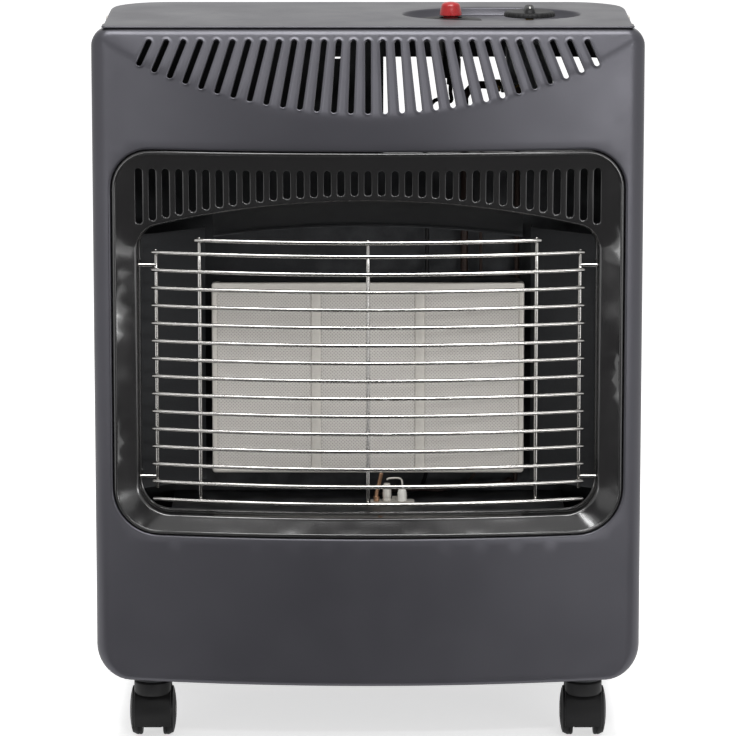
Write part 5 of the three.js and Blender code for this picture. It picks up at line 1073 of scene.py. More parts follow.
class HEATER_OT_top(bpy.types.Operator):
    """Make the top panel with its rolled edges and the oval dish for the controls"""
    bl_idname = "heater.top"
    bl_label = "Top panel"

    def execute(self, context):
        settings = context.scene.heater_cabinet
        front, rear, top = TOP_LOW[1], TOP_HIGH[1], TOP_HIGH[2]
        corners = (4 * MM, 4 * MM, 45 * MM, 45 * MM)
        seam, deep = PANEL_REAR + 0.3 * MM, behind(148 * MM)
        outline = rounded_outline(-CABINET_HALF, front, CABINET_HALF, rear, corners, 12)
        outline = spaced(with_steps(without_repeats(outline), (seam, deep)), 8 * MM)
        roll = [0.9 * MM if y < seam else settings.top_roll for _, y in outline]
        turn = [SHEET if y < seam else 10 * MM if y < deep else 44 * MM for _, y in outline]
        shell = Shell()
        dish = [(DISH[0] + x, DISH[1] + y) for x, y in self.oval(settings, 0)]
        radius, wall = 1.8 * MM, 1.5 * MM
        rows = []
        for angle in quarter(5):
            sunk = radius * (1 - math.cos(angle))
            rows.append([(x, y, top - sunk) for x, y in inset(dish, -radius * (1 - math.sin(angle)))])
        for angle in quarter(5, 1):
            level = top - DISH_DROP + wall * (1 - math.sin(angle))
            rows.append(
                [(x, y, level) for x, y in inset(dish, 2 * MM + wall * (1 - math.cos(angle)) - 0.4 * MM)])
        indices = shell.rings(rows)
        pressed_sheet(shell, outline, roll, turn, lambda u, v, d: (u, v, top - d), 14 * MM,
                      [inset(dish, -radius)], [indices[0]])
        floor = inset(dish, 2 * MM + wall - 0.4 * MM)
        holes, rings = [], [indices[-1]]
        for x, hole_radius in ((KNOB_X, 6.9 * MM), (BUTTON_X, 9.3 * MM)):
            hole = arc((x, DISH[1]), hole_radius, 0, 360, 24)[:-1]
            edge = inset(hole, -0.5 * MM)
            ring = shell.rings(
                [
                    [(a, b, top - DISH_DROP) for a, b in edge],
                    [(a, b, top - DISH_DROP - 0.4 * MM) for a, b in hole]])
            holes.append(edge)
            rings.append(ring[0])
        shell.skin(floor, holes, lambda p: (p[0], p[1], top - DISH_DROP), 8 * MM, rings)
        panel = shell.piece("pressed_top_panel", "cabinet", SHEET, (0, 0, 1))
        dress(panel, "graphite_paint")
        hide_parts("top_panel")
        return {"FINISHED"}

    def oval(self, settings, inward):
        """Oval of the dish round its middle."""
        half_length, half_breadth = settings.dish_length / 2 - inward, settings.dish_breadth / 2 - inward
        angles = [2 * math.pi * k / 72 for k in range(72)]
        return [(half_length * math.cos(a), half_breadth * math.sin(a)) for a in angles]


class HEATER_OT_sides(bpy.types.Operator):
    """Make the two side panels, which sweep down to the rear"""
    bl_idname = "heater.sides"
    bl_label = "Side panels"

    def execute(self, context):
        low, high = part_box("right_side_panel")
        front, rear = low[1], high[1]
        step, sweep = behind(148 * MM) - 0.3 * MM, behind(161 * MM)
        under_skirt = TOP_HIGH[2] - 44.3 * MM
        rear_height = 330 * MM
        outline = [(rear, low[2]), (rear, rear_height)]
        outline += self.sweep((rear, rear_height), (sweep, under_skirt))
        outline += [(step, under_skirt), (step, high[2]), (front, high[2]), (front, low[2] + 8.7 * MM)]
        outline += [
            (front + 2 * MM, low[2] + 7 * MM), (front + 20 * MM, low[2] + 2.4 * MM),
            (front + 40 * MM, low[2])]
        outline = list(reversed([(-y, z) for y, z in outline]))
        outline = even(outline, 12 * MM)
        turn, roll = [], []
        for y, z in outline:
            on_front = abs(-y - front) < 0.1 * MM
            on_sweep = -y > sweep + 2 * MM and z > rear_height - 0.5 * MM
            turn.append(12 * MM if on_front else 4 * MM if on_sweep else SHEET)
            roll.append(1.6 * MM if on_front or on_sweep else 0.5 * MM)
        for name, side in (("left_side_panel", -1), ("right_side_panel", 1)):
            shell = Shell()
            pressed_sheet(
                shell, outline, roll, turn, lambda u, v, d: (side * (CABINET_HALF - d), -u, v), 22 * MM)
            panel = shell.piece("pressed_" + name, "cabinet", SHEET, (side, 0, 0))
            dress(panel, "graphite_paint")
            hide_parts(name)
        return {"FINISHED"}

    def sweep(self, start, end):
        """Points of the smooth sweep between two ends that are level there, without the ends."""
        points = []
        for k in range(1, 24):
            t = k / 24
            y0, z0, y1, z1 = *start, *end
            middle = (y0 + y1) / 2
            y = (y0 * (1 - t) ** 3 + 3 * middle * t * (1 - t) ** 2
                 + 3 * middle * t ** 2 * (1 - t) + y1 * t ** 3)
            z = z0 * ((1 - t) ** 3 + 3 * t * (1 - t) ** 2) + z1 * (3 * t ** 2 * (1 - t) + t ** 3)
            points.append((y, z))
        return points


class HEATER_OT_base(bpy.types.Operator):
    """Make the base tray with its upturned edge, raised cylinder floor and vents"""
    bl_idname = "heater.base"
    bl_label = "Base"

    def execute(self, context):
        low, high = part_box("base_panel")
        m = MM
        half, front, rear = high[0], low[1], high[1]
        floor = low[2] + SHEET
        shell = Shell()
        outline = [
            (-half + 19 * m, front), (half - 19 * m, front), (half - 10.5 * m, front + 15 * m),
            (half - 4.5 * m, front + 28 * m)]
        outline += [(half, front + 46 * m)] + arc((half - 28.5 * m, rear - 28.5 * m), 28.5 * m, 0, 90, 8)
        outline += arc((28.5 * m - half, rear - 28.5 * m), 28.5 * m, 90, 180, 8)
        outline += [
            (-half, front + 46 * m), (4.5 * m - half, front + 28 * m), (10.5 * m - half, front + 15 * m)]
        outline = even(outline, 10 * m)
        edge = [0.7 * m if y < front + 15 * m else 1.4 * m for _, y in outline]
        rise = [1.5 * m if y < front + 15 * m else high[2] - low[2] for _, y in outline]
        pad_front, pad_rear = behind(131.2 * m), behind(372.6 * m)
        pad = even(rounded_outline(-150 * m, pad_front, 150 * m, pad_rear, 30 * m, 8), 12 * m)
        rows = []
        for a in quarter(4):
            rows.append(
                [
                    (x, y, floor + 1 * m * (1 - math.cos(a))) for x,
                    y in inset(pad, -1 * m * (1 - math.sin(a)))])
        for a in quarter(4, 1):
            rows.append(
                [
                    (x, y, floor + 1 * m + 1 * m * math.sin(a)) for x,
                    y in inset(pad, 1 * m * (1 - math.cos(a)))])
        indices = shell.rings(rows)
        pressed_sheet(
            shell, outline, edge, rise, lambda u, v, d: (u, v, floor + d), 18 * m, [inset(pad, -1 * m)],
            [indices[0]])
        holes, rings = [], [indices[-1]]
        for side in (-1, 1):
            for number in range(5):
                x, y = side * 75 * m, (pad_front + pad_rear) / 2 + (number - 2) * 16 * m
                vent = even(capsule((x - 27 * m, y), (x + 27 * m, y), 6 * m, 6), 10 * m)
                loops = [
                    [(a, b, floor + 2 * m) for a, b in inset(vent, -0.8 * m)],
                    [(a, b, floor + 1.5 * m) for a, b in vent]]
                rings.append(shell.rings(loops)[0])
                holes.append(inset(vent, -0.8 * m))
        shell.skin(inset(pad, 1 * m), holes, lambda p: (p[0], p[1], floor + 2 * m), 16 * m, rings)
        tray = shell.piece("pressed_base_panel", "cabinet", SHEET, (0, 0, 1))
        dress(tray, "graphite_paint")
        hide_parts("base_panel")
        return {"FINISHED"}


class HEATER_OT_cover(bpy.types.Operator):
    """Make the rear cover with its rounded corners, pressed louvres and tongues"""
    bl_idname = "heater.cover"
    bl_label = "Rear cover"

    def execute(self, context):
        settings = context.scene.heater_cabinet
        front, rear, high = SIDE_REAR + 0.3 * MM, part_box("rear_cover")[1][1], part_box("rear_cover")[1][2]
        corner = 30 * MM
        straight, bend = rear - corner - front, corner * math.pi / 2
        flat = 2 * (CABINET_HALF - corner)
        total = 2 * (straight + bend) + flat

        def place(u, v, depth):
            """u runs round the cover from its right front edge, as seen from behind it."""
            s = u + total / 2
            if s < straight:
                return (-(CABINET_HALF - depth), front + s, v)
            if s < straight + bend:
                a = (s - straight) / corner
                r = corner - depth
                return (-(CABINET_HALF - corner) - r * math.cos(a), rear - corner + r * math.sin(a), v)
            if s < straight + bend + flat:
                return (s - straight - bend - flat / 2, rear - depth, v)
            if s < straight + 2 * bend + flat:
                a = (s - straight - bend - flat) / corner
                r = corner - depth
                return (CABINET_HALF - corner + r * math.sin(a), rear - corner + r * math.cos(a), v)
            return (CABINET_HALF - depth, rear - corner - (s - straight - 2 * bend - flat), v)

        shell = Shell()
        outline = even(rounded_outline(-total / 2, BASE_LOW, total / 2, high, 1 * MM, 3), 9 * MM)
        turn = [9 * MM if z > high - 0.6 * MM and abs(u) < total / 2 - 3 * MM else SHEET for u, z in outline]
        roll = [1.5 * MM if t > 2 * MM else 0.4 * MM for t in turn]
        holes, rings = [], []
        for x in (-70 * MM, 70 * MM):
            for number in range(7):
                z = high - (45 + 14 * number) * MM
                slot = even(capsule((x - 47.5 * MM, z), (x + 47.5 * MM, z), 5 * MM, 6), 12 * MM)
                loops = []
                for out, rise in (
                        (3.6, 0.0), (2.9, 0.12), (2.1, 0.5), (1.3, 0.85), (0.6, 1.0), (0.0, 0.9),
                        (0.0, -0.2)):
                    ring = inset(slot, -out * MM)
                    heights = [
                        settings.louvre_rise * rise * (
                            0.25 + 0.75 * min(1, max(0, (b - z) / (2.5 * MM) + 0.35))) for _,
                        b in ring]
                    loops.append([place(a, b, -h) for (a, b), h in zip(ring, heights)])
                rings.append(shell.rings(loops)[0])
                holes.append(inset(slot, -3.6 * MM))
        bends = [
            (s * (flat / 2 + bend * k / 8), z) for s in (-1, 1) for k in range(9)
            for z in np.arange(BASE_LOW + 6 * MM, high - 6 * MM, 12 * MM)]
        pressed_sheet(shell, outline, roll, turn, place, 16 * MM, holes, rings, extra=bends)
        cover = shell.piece("pressed_rear_cover", "cover", SHEET, (0, 1, 0))
        dress(cover, "graphite_paint")
        fittings = Shell()
        inner = CABINET_HALF - SHEET - 0.3 * MM
        for side in (-1, 1):
            for foot in (120 * MM, 270 * MM):
                ends = sorted((side * inner, side * (inner - SHEET)))
                slab(
                    fittings, (ends[0], front - 12 * MM, foot),
                    (ends[1], front + 14 * MM, foot + 22 * MM), 0.4 * MM)
            ends = sorted((side * (CABINET_HALF - SHEET), side * (CABINET_HALF - 6 * MM)))
            slab(
                fittings, (ends[0], front + 0.5 * MM, BASE_LOW + 20.3 * MM),
                (ends[1], rear - corner, BASE_LOW + 21.5 * MM))
        tongues = fittings.piece("cover_tongues", "cover")
        dress(tongues, "graphite_paint")
        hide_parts("rear_cover")
        return {"FINISHED"}


class HEATER_OT_fasteners(bpy.types.Operator):
    """Make the small screws that hold the panels"""
    bl_idname = "heater.fasteners"
    bl_label = "Screws"

    def execute(self, context):
        spots = []
        for side in (-1, 1):
            x = side * CABINET_HALF
            spots += [((x, PANEL_REAR + 7 * MM, z * MM), "X", side) for z in (85, 310, 530)]
            spots += [((x, behind(y * MM), TOP_HIGH[2] - 5.5 * MM), "X", side) for y in (70, 125)]
            spots += [((x, behind(155 * MM), TOP_HIGH[2] - 30 * MM), "X", side)]
            spots += [((x, behind(y * MM), BASE_LOW + 11 * MM), "X", side) for y in (120, 300)]
            spots += [((side * 120 * MM, TOP_HIGH[1], TOP_HIGH[2] - 30 * MM), "Y", 1)]
        shell = Shell()
        for place, axis, side in spots:
            screw_head(shell, place, axis, side, 3.2 * MM)
        screws = shell.piece("panel_screws", "cabinet")
        dress(screws, "bright_steel")
        return {"FINISHED"}


def screw_head(shell, place, axis, side, radius):
    """A domed head with a cross recess, standing on a face."""
    angles = np.linspace(0, 2 * math.pi, 32, endpoint=False)
    profile = [(radius, -0.25 * MM), (radius, 0.3 * MM), (radius * 0.86, 0.85 * MM), (radius * 0.6, 1.2 * MM)]
    inner = [(0.58, 1.25), (0.5, 0.75), (0.3, 0.7)]
    w = Vector(AXIS_FRAMES[axis][2]) * side
    u = Vector((0, 0, 1)) if axis != "Z" else Vector((1, 0, 0))
    v = w.cross(u)
    rows = []
    for r, along in profile:
        rows.append([Vector(place) + (u * math.cos(a) + v * math.sin(a)) * r + w * along for a in angles])
    for share, along in inner:
        row = []
        for a in angles:
            arm = max(abs(math.cos(a)), abs(math.sin(a)))
            reach = radius * share * (1.0 if arm > 0.95 else 0.38)
            row.append(Vector(place) + (u * math.cos(a) + v * math.sin(a)) * reach + w * along * MM)
        rows.append(row)
    indices = shell.rings(rows)
    shell.fan(indices[-1], shell.add([Vector(place) + w * 0.65 * MM])[0])
    shell.faces.append(tuple(reversed(indices[0])))

# ---- Twin-wheel casters ----

class CasterSettings(bpy.types.PropertyGroup):
    """The four casters."""
    wheel_radius: bpy.props.FloatProperty(
        name="Wheel radius", description="Radius of the treads", default=20 * MM, unit="LENGTH")
    hood_half_width: bpy.props.FloatProperty(
        name="Hood half width", description="Half the width of the hood over the treads",
        default=14.3 * MM, unit="LENGTH")
    dome: bpy.props.FloatProperty(
        name="Dome", description="How far the outer face of a wheel bulges", default=4.0 * MM,
        unit="LENGTH")


WEB_HALF = 7.5 * MM
CASTER_TRAIL = 12 * MM


class HEATER_OT_casters(bpy.types.Operator):
    """Make the stem, hood, axle and domed wheels of each caster"""
    bl_idname = "heater.casters"
    bl_label = "Casters"

    def execute(self, context):
        settings = context.scene.heater_casters
        for end in ("front", "rear"):
            for label in ("left", "right"):
                name = f"{end}_{label}_caster"
                low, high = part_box(name + "_stem")
                x, y = (low[0] + high[0]) / 2, (low[1] + high[1]) / 2
                self.stem(name, x, y)
                self.hood(name, x, y + CASTER_TRAIL, y, settings)
                self.axle(name, x, y + CASTER_TRAIL, settings)
                for wheel, side in (("left", -1), ("right", 1)):
                    self.wheel(name, wheel, side, x, y + CASTER_TRAIL, settings)
        return {"FINISHED"}

    def stem(self, name, x, y):
        shell = Shell()
        profile = [
            (0, 27), (4.2, 27), (5, 28), (5, 46), (6.2, 47.2), (13.4, 47.2), (14.2, 47.9), (14.2, 49.3),
            (13.5, 50), (0, 50)]
        lathe(shell, [(r * MM, z * MM) for r, z in profile], (x, y, 0), "Z", 40)
        finish_piece(shell, "turned_" + name + "_stem", "cabinet", "dark_steel", [name + "_stem"])

    def hood(self, name, x, axle_y, stem_y, settings):
        shell = Shell()
        wheel = settings.wheel_radius
        inner, outer, half = wheel + 1 * MM, wheel + 3.4 * MM, settings.hood_half_width
        section = without_repeats(rounded_outline(-half, inner, half, outer, 0.9 * MM, 4))
        rows = []
        for degrees in np.linspace(-14, 203, 44):
            a = math.radians(degrees)
            rows.append([(x + u, axle_y + r * math.cos(a), wheel + r * math.sin(a)) for u, r in section])
        indices = shell.rings(rows)
        shell.faces.append(tuple(reversed(indices[0])))
        shell.faces.append(tuple(indices[-1]))
        web = arc((axle_y, wheel), outer - 0.8 * MM, -14, 190, 30)
        web += [
            (axle_y - 19 * MM, 12 * MM), (axle_y - 16 * MM, 9 * MM), (axle_y - 10 * MM, 7.5 * MM),
            (axle_y + 6.7 * MM, 7.5 * MM)]
        small = inset(web, 0.9 * MM)
        rows = [[(x - WEB_HALF, u, v) for u, v in small], [(x - WEB_HALF + 0.9 * MM, u, v) for u, v in web]]
        rows += [[(x + WEB_HALF - 0.9 * MM, u, v) for u, v in web], [(x + WEB_HALF, u, v) for u, v in small]]
        indices = shell.rings(rows)
        for side, ring in ((-1, indices[0]), (1, indices[-1])):
            shell.skin(small, [], lambda p: (x + side * WEB_HALF, p[0], p[1]), 12 * MM, [ring])
        neck = [
            (0, 36), (13.2, 36), (14.2, 38), (14.2, 45.6), (13.2, 46.8), (6, 46.8), (5.6, 46.4),
            (0, 46.4)]
        lathe(shell, [(r * MM, z * MM) for r, z in neck], (x, stem_y, 0), "Z", 48)
        finish_piece(shell, "moulded_" + name + "_hood", name + "_fork", "black_plastic", [name + "_hood"])

    def axle(self, name, x, axle_y, settings):
        shell = Shell()
        half = WEB_HALF + 10.2 * MM
        profile = [
            (0, -half), (3.6 * MM, -half + 0.05 * MM), (5.0 * MM, -half + 0.35 * MM),
            (5.5 * MM, -half + 1 * MM)]
        profile += [(3 * MM, -half + 1 * MM), (3 * MM, 0)]
        profile += [(r, -a) for r, a in reversed(profile)]
        lathe(shell, profile, (x, axle_y, settings.wheel_radius), "X", 32)
        finish_piece(shell, "riveted_" + name + "_axle", name + "_fork", "bright_steel", [name + "_axle"])

    def wheel(self, name, wheel, side, x, axle_y, settings):
        radius = settings.wheel_radius
        inner = WEB_HALF + 0.5 * MM
        rim = inner + 6.2 * MM
        dome = lambda r: rim + settings.dome * math.sqrt(max(0, 1 - (r / radius) ** 2))
        profile = [
            (3.15 * MM, inner), (radius - 1.2 * MM, inner), (radius - 0.3 * MM, inner + 0.5 * MM),
            (radius, inner + 1.3 * MM)]
        profile += [
            (radius, inner + 2.3 * MM), (radius - 0.4 * MM, inner + 2.7 * MM), (radius, inner + 3.1 * MM)]
        profile += [
            (radius, rim - 2.2 * MM), (radius - 0.35 * MM, rim - 1.1 * MM),
            (radius - 1.1 * MM, rim + 0.2 * MM)]
        for r in (18.4, 17.4, 16.0, 14.4):
            profile.append((r * MM, dome(r * MM)))
        profile += [
            (13.9 * MM, dome(13.9 * MM) - 0.5 * MM), (13.2 * MM, dome(13.2 * MM) - 0.5 * MM),
            (12.7 * MM, dome(12.7 * MM))]
        for r in (11.2, 9.6, 8.2, 7.3):
            profile.append((r * MM, dome(r * MM)))
        profile += [
            (6.7 * MM, dome(6.7 * MM) - 0.6 * MM), (6.4 * MM, inner + 8.1 * MM),
            (3.15 * MM, inner + 8 * MM)]
        shell = Shell()
        lathe(shell, [(r, side * a) for r, a in profile], (x, axle_y, radius), "X", 64)
        body = f"{name}_{wheel}_roll"
        finish_piece(
            shell, f"moulded_{name}_{wheel}_wheel", body, "black_plastic", [f"{name}_{wheel}_wheel"], 40)

# ---- Controls in the dish, gas valve and igniter ----

class ControlSettings(bpy.types.PropertyGroup):
    """Knob and igniter button."""
    knob_radius: bpy.props.FloatProperty(
        name="Knob radius", description="Radius of the control knob", default=20 * MM, unit="LENGTH")
    flutes: bpy.props.IntProperty(
        name="Flutes", description="Flutes round the edge of the knob", default=30, min=6, max=60)
    button_radius: bpy.props.FloatProperty(
        name="Button radius", description="Radius of the igniter button", default=8.6 * MM, unit="LENGTH")


GRIP_LOWERED = 2.8 * MM  # how far the grip would stand below the top of its node
SPINDLE_COVER = 0.8 * MM  # least thickness over the end of the spindle
BUTTON_CROWN = 0.86  # share of the button's radius at its narrower top


class HEATER_OT_controls(bpy.types.Operator):
    """Make the control knob, the igniter button and its bezel"""
    bl_idname = "heater.controls"
    bl_label = "Controls"

    def execute(self, context):
        settings = context.scene.heater_controls
        self.knob(settings)
        self.bezel(settings)
        self.button(settings)
        return {"FINISHED"}

    def knob(self, settings):
        foot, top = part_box("control_knob")[0][2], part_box("control_knob")[1][2] - GRIP_LOWERED
        top = max(top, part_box("valve_spindle")[1][2] + SPINDLE_COVER)
        radius = settings.knob_radius
        shell = Shell()
        flute = lambda angle, r, along: -0.35 * MM * max(
            0, math.cos(settings.flutes * angle)) if r > radius - 1 * MM else 0
        disc = [
            (0, 0.6), (17, 0.6), (17.5, 0), (19.6, 0), (20, 0.5), (19.7, 2.2), (19.2, 3.0), (18.2, 3.6),
            (16.8, 3.8), (14, 3.5), (0, 3.4)]
        lathe(
            shell, [(r * MM * radius / (20 * MM), foot + z * MM) for r, z in disc], (KNOB_X, DISH[1], 0),
            "Z", 240, flute)
        half, reach, base = 4.2 * MM, radius - 2.6 * MM, foot + 3 * MM
        rows = []
        for rise, inward in ((0.0, 0.0), (0.35, 0.25), (0.7, 0.7), (0.9, 1.3), (0.98, 2.0), (1.0, 2.9)):
            ends = 2.6 * MM * rise ** 2
            outline = rounded_outline(-half, -reach + ends, half, reach - ends, half * 0.98, 8)
            rows.append(
                [
                    (KNOB_X + u, DISH[1] + v, base + (top - base) * rise) for u,
                    v in inset(without_repeats(outline), inward * MM)])
        indices = shell.rings(rows)
        shell.faces.append(tuple(indices[-1]))
        shell.faces.append(tuple(reversed(indices[0])))
        finish_piece(shell, "moulded_control_knob", "knob", "black_plastic", ["control_knob"])
        line = Shell()
        slab(
            line, (KNOB_X - 0.6 * MM, DISH[1] - reach + 4 * MM, top - 0.4 * MM),
            (KNOB_X + 0.6 * MM, DISH[1] - 3 * MM, top + 0.1 * MM), 0.2 * MM)
        finish_piece(line, "knob_pointer", "knob", "glazed_ceramic", [])

    def bezel(self, settings):
        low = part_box("igniter_bezel")[0][2]
        hole = settings.button_radius + 0.3 * MM
        profile = [
            (hole, low), (24 * MM, low), (24 * MM, low + 0.8 * MM), (23.4 * MM, low + 1.5 * MM),
            (20 * MM, low + 2.0 * MM)]
        profile += [
            (14.5 * MM, low + 2.2 * MM), (12.4 * MM, low + 3.0 * MM), (11.4 * MM, low + 3.2 * MM),
            (hole + 0.5 * MM, low + 3.1 * MM), (hole, low + 2.7 * MM)]
        shell = Shell()
        lathe(shell, profile, (BUTTON_X, DISH[1], 0), "Z", 72)
        finish_piece(shell, "moulded_igniter_bezel", "cabinet", "black_plastic", ["igniter_bezel"], 50)

    def button(self, settings):
        low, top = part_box("igniter_button")[0][2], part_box("igniter_button")[1][2]
        radius = settings.button_radius
        foot = top - 10.5 * MM
        profile = [
            (0, low), (5.4 * MM, low), (6 * MM, low + 0.6 * MM), (6 * MM, foot),
            (radius - 0.3 * MM, foot), (radius, foot + 0.4 * MM)]
        crown = radius * BUTTON_CROWN
        profile += [(crown + 0.4 * MM, top - 5.2 * MM), (crown, top - 4.2 * MM)]
        for degrees in (15, 30, 45, 60, 75):
            a = math.radians(degrees)
            profile.append((crown - 2.6 * MM * (1 - math.cos(a)), top - 4.2 * MM + 3.2 * MM * math.sin(a)))
        profile += [(crown * 0.55, top - 0.6 * MM), (crown * 0.3, top - 0.2 * MM), (0, top)]
        shell = Shell()
        lathe(shell, profile, (BUTTON_X, DISH[1], 0), "Z", 56)
        finish_piece(shell, "moulded_igniter_button", "button", "red_plastic", ["igniter_button"])


def finish_piece(shell, name, body, finish, nodes, sharp_angle=35):
    """Make a shell's object, dress it and let it stand for its nodes of the frame."""
    piece = shell.piece(name, body)
    dress(piece, finish, sharp_angle)
    if nodes:
        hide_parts(*nodes)
    return piece


class HEATER_OT_gas_parts(bpy.types.Operator):
    """Make the gas valve, igniter body, hose nozzle, pipes and leads behind the louvres"""
    bl_idname = "heater.gas_parts"
    bl_label = "Valve, pipes and leads"

    def execute(self, context):
        low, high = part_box("gas_valve_body")
        bottom, top = low[2], high[2] - 7.5 * MM
        x, y = KNOB_X, DISH[1]
        port, inlet = bottom + 7.2 * MM, bottom + 17 * MM
        shell = Shell()
        slab(
            shell, (x - 18 * MM, y - 15.5 * MM, bottom + 6 * MM),
            (x + 18 * MM, y + 15.5 * MM, top - 8 * MM), 4 * MM, 6)
        slab(shell, (x - 12 * MM, y - 12 * MM, bottom), (x + 12 * MM, y + 12 * MM, top), 3 * MM, 6)
        collar = [
            (0, top - 1 * MM), (10 * MM, top - 1 * MM), (10 * MM, high[2] - 0.6 * MM),
            (9.4 * MM, high[2])]
        collar += [(6.5 * MM, high[2]), (6.5 * MM, top - 0.5 * MM), (0, top - 0.5 * MM)]
        lathe(shell, collar, (x, y, 0), "Z", 40)
        side_end = x - 22 * MM
        lathe(
            shell,
            [(0, side_end), (5 * MM, side_end), (5.5 * MM, side_end + 0.5 * MM), (5.5 * MM, x), (0, x)],
            (0, y, port), "X", 28)
        front_end = y - 19.5 * MM
        lathe(
            shell,
            [
                (0, front_end), (4.1 * MM, front_end), (4.5 * MM, front_end + 0.4 * MM), (4.5 * MM, y),
                (0, y)],
            (x - 9 * MM, 0, port), "Y", 28)
        lathe(
            shell,
            [(0, y), (7 * MM, y), (7 * MM, y + 19 * MM), (6.5 * MM, y + 19.5 * MM), (0, y + 19.5 * MM)],
            (x, 0, inlet), "Y", 28)
        for side in (-1, 1):
            for back in (-1, 1):
                screw_head(shell, (x + side * 14.5 * MM, y + back * 12 * MM, top - 8 * MM), "Z", 1, 2.2 * MM)
        finish_piece(shell, "die_cast_gas_valve", "cabinet", "die_cast", ["gas_valve_body"])
        self.igniter()
        self.nozzle(x, y + 19.8 * MM, inlet)
        self.pipes(bottom, port)
        return {"FINISHED"}

    def igniter(self):
        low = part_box("igniter_body")[0][2]
        profile = [
            (0, 0), (2.6, 0), (3, 0.4), (3, 5), (7.4, 5.6), (8, 6.4), (8, 20), (7.5, 20.5), (7.5, 22),
            (8, 22.5), (8, 44.6)]
        profile += [(11.6, 45), (12, 45.5), (12, 47.1), (11.6, 47.5), (6.3, 47.5), (6.3, 30), (0, 30)]
        shell = Shell()
        lathe(shell, [(r * MM, low + z * MM) for r, z in profile], (BUTTON_X, DISH[1], 0), "Z", 40)
        finish_piece(shell, "moulded_igniter_body", "cabinet", "black_plastic", ["igniter_body"])

    def nozzle(self, x, start, height):
        shell = Shell()
        profile = [(0, 0), (7.4, 0), (8, 0.6), (8, 6.4), (7.4, 7), (4.6, 7.6), (4.2, 8.2), (4.2, 10)]
        for barb in (10, 15, 20):
            profile += [(5.2, barb + 0.3), (5.1, barb + 0.9), (4.2, barb + 4.9)]
        profile += [(3.6, 25), (2.5, 24.8), (2.5, 4), (0, 4)]
        lathe(shell, [(r * MM, start + a * MM) for r, a in profile], (x, 0, height), "Y", 40)
        finish_piece(shell, "turned_hose_nozzle", "cabinet", "brass", ["inlet_nozzle"])

    def pipes(self, valve_bottom, port):
        duct = behind(107 * MM)
        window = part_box("pilot_bracket")[0][2]
        seat = window + SHEET + 0.3 * MM
        burner_low, burner_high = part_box("burner_frame")[0][2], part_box("burner_frame")[1][2]
        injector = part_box("burner_injector")[1][2]
        shield_low = valve_bottom - 17 * MM
        m = MM
        start = KNOB_X - 22.3 * m
        supply = [
            (start, DISH[1], port), (start - 6 * m, DISH[1], port), (83 * m, DISH[1] - 1 * m, port),
            (75 * m, duct, port - 8 * m)]
        supply += [
            (75 * m, duct, port - 22 * m), (75 * m, duct, injector + 60 * m),
            (75 * m, duct, injector + 0.3 * m)]
        px, py = KNOB_X - 9 * m, DISH[1] - 19.8 * m
        low = seat + 7 * m
        pilot_y = behind(65 * m)
        pilot = [
            (px, py, port), (px, py - 6 * m, port - 1 * m), (px, py - 7 * m, port - 14 * m),
            (px, duct, port - 30 * m)]
        pilot += [
            (px, duct, burner_high), (px, duct, burner_low), (px - 6 * m, duct - 8 * m, low + 3 * m),
            (px - 20 * m, duct - 12 * m, low)]
        pilot += [
            (44.7 * m, pilot_y + 16 * m, low), (14.7 * m, pilot_y + 12 * m, low),
            (14.7 * m, pilot_y + 3.9 * m, low)]
        floor = window - 0.3 * m + 3.6 * m
        probe = [
            (6.5 * m, pilot_y + 2.7 * m, seat + 2 * m), (6.5 * m, pilot_y + 8 * m, seat + 2 * m),
            (10.5 * m, pilot_y + 18 * m, floor)]
        probe += [
            (36.5 * m, duct - 6 * m, floor), (64 * m, duct, floor), (88 * m, duct, burner_low + 8 * m),
            (88 * m, duct, burner_high)]
        probe += [
            (88 * m, duct, shield_low - 6 * m), (96 * m, duct + 1 * m, shield_low + 7 * m),
            (115 * m, DISH[1], shield_low + 7 * m)]
        probe += [(121 * m, DISH[1], valve_bottom - 6 * m), (121 * m, DISH[1], valve_bottom - 0.3 * m)]
        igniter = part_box("igniter_body")[0][2]
        rise = seat + 2 * m
        spark = [
            (26.5 * m, pilot_y + 3.9 * m, rise), (26.5 * m, pilot_y + 9.9 * m, rise),
            (28.5 * m, pilot_y + 17.9 * m, rise - 0.5 * m)]
        spark += [
            (40 * m, duct - 10 * m, rise + 2 * m), (45 * m, duct - 2 * m, rise + 10 * m),
            (46 * m, duct, burner_low + 10 * m)]
        spark += [
            (46 * m, duct, burner_high), (46 * m, duct, shield_low - 25 * m),
            (44 * m, duct - 6 * m, shield_low)]
        spark += [(52 * m, duct - 2 * m, shield_low + 14 * m), (BUTTON_X, DISH[1] - 2 * m, igniter - 13 * m)]
        spark += [(BUTTON_X, DISH[1], igniter - 6 * m), (BUTTON_X, DISH[1], igniter - 0.3 * m)]
        # The pipes and the thermocouple lead take the copper painted nearly black, which is painted shade.
        runs = (
            ("burner_supply_pipe", supply, 3 * m, "shade_darkened_copper", 16),
            ("pilot_supply_pipe", pilot, 2 * m, "shade_darkened_copper", 12),
            ("thermocouple_lead", probe, 1.3 * m, "shade_darkened_copper", 10),
            ("ignition_lead", spark, 1.6 * m, "black_plastic", 10),
        )
        for name, points, radius, finish, sides in runs:
            shell = Shell()
            tube(shell, smooth_path(points, 7), radius, sides)
            finish_piece(shell, "bent_" + name, "cabinet", finish, [name], 50)
        nuts = Shell()
        places = (
            ((start - 5 * m, DISH[1], port), "X", 5 * m, 5.2 * m),
            ((px, py - 4.5 * m, port), "Y", 4.5 * m, 4.0 * m),
            ((75 * m, duct, injector + 0.4 * m), "Z", 6 * m, 5.0 * m),
        )
        for place, axis, along, size in places:
            profile = [
                (size * 0.6, 0), (size * 0.92, 0), (size, along * 0.12), (size, along * 0.88),
                (size * 0.92, along), (size * 0.6, along)]
            lathe(nuts, profile, place, axis, 6)
        finish_piece(nuts, "union_nuts", "cabinet", "brass", [], 20)

# ---- Burner, side reflectors, flue hood and pilot ----

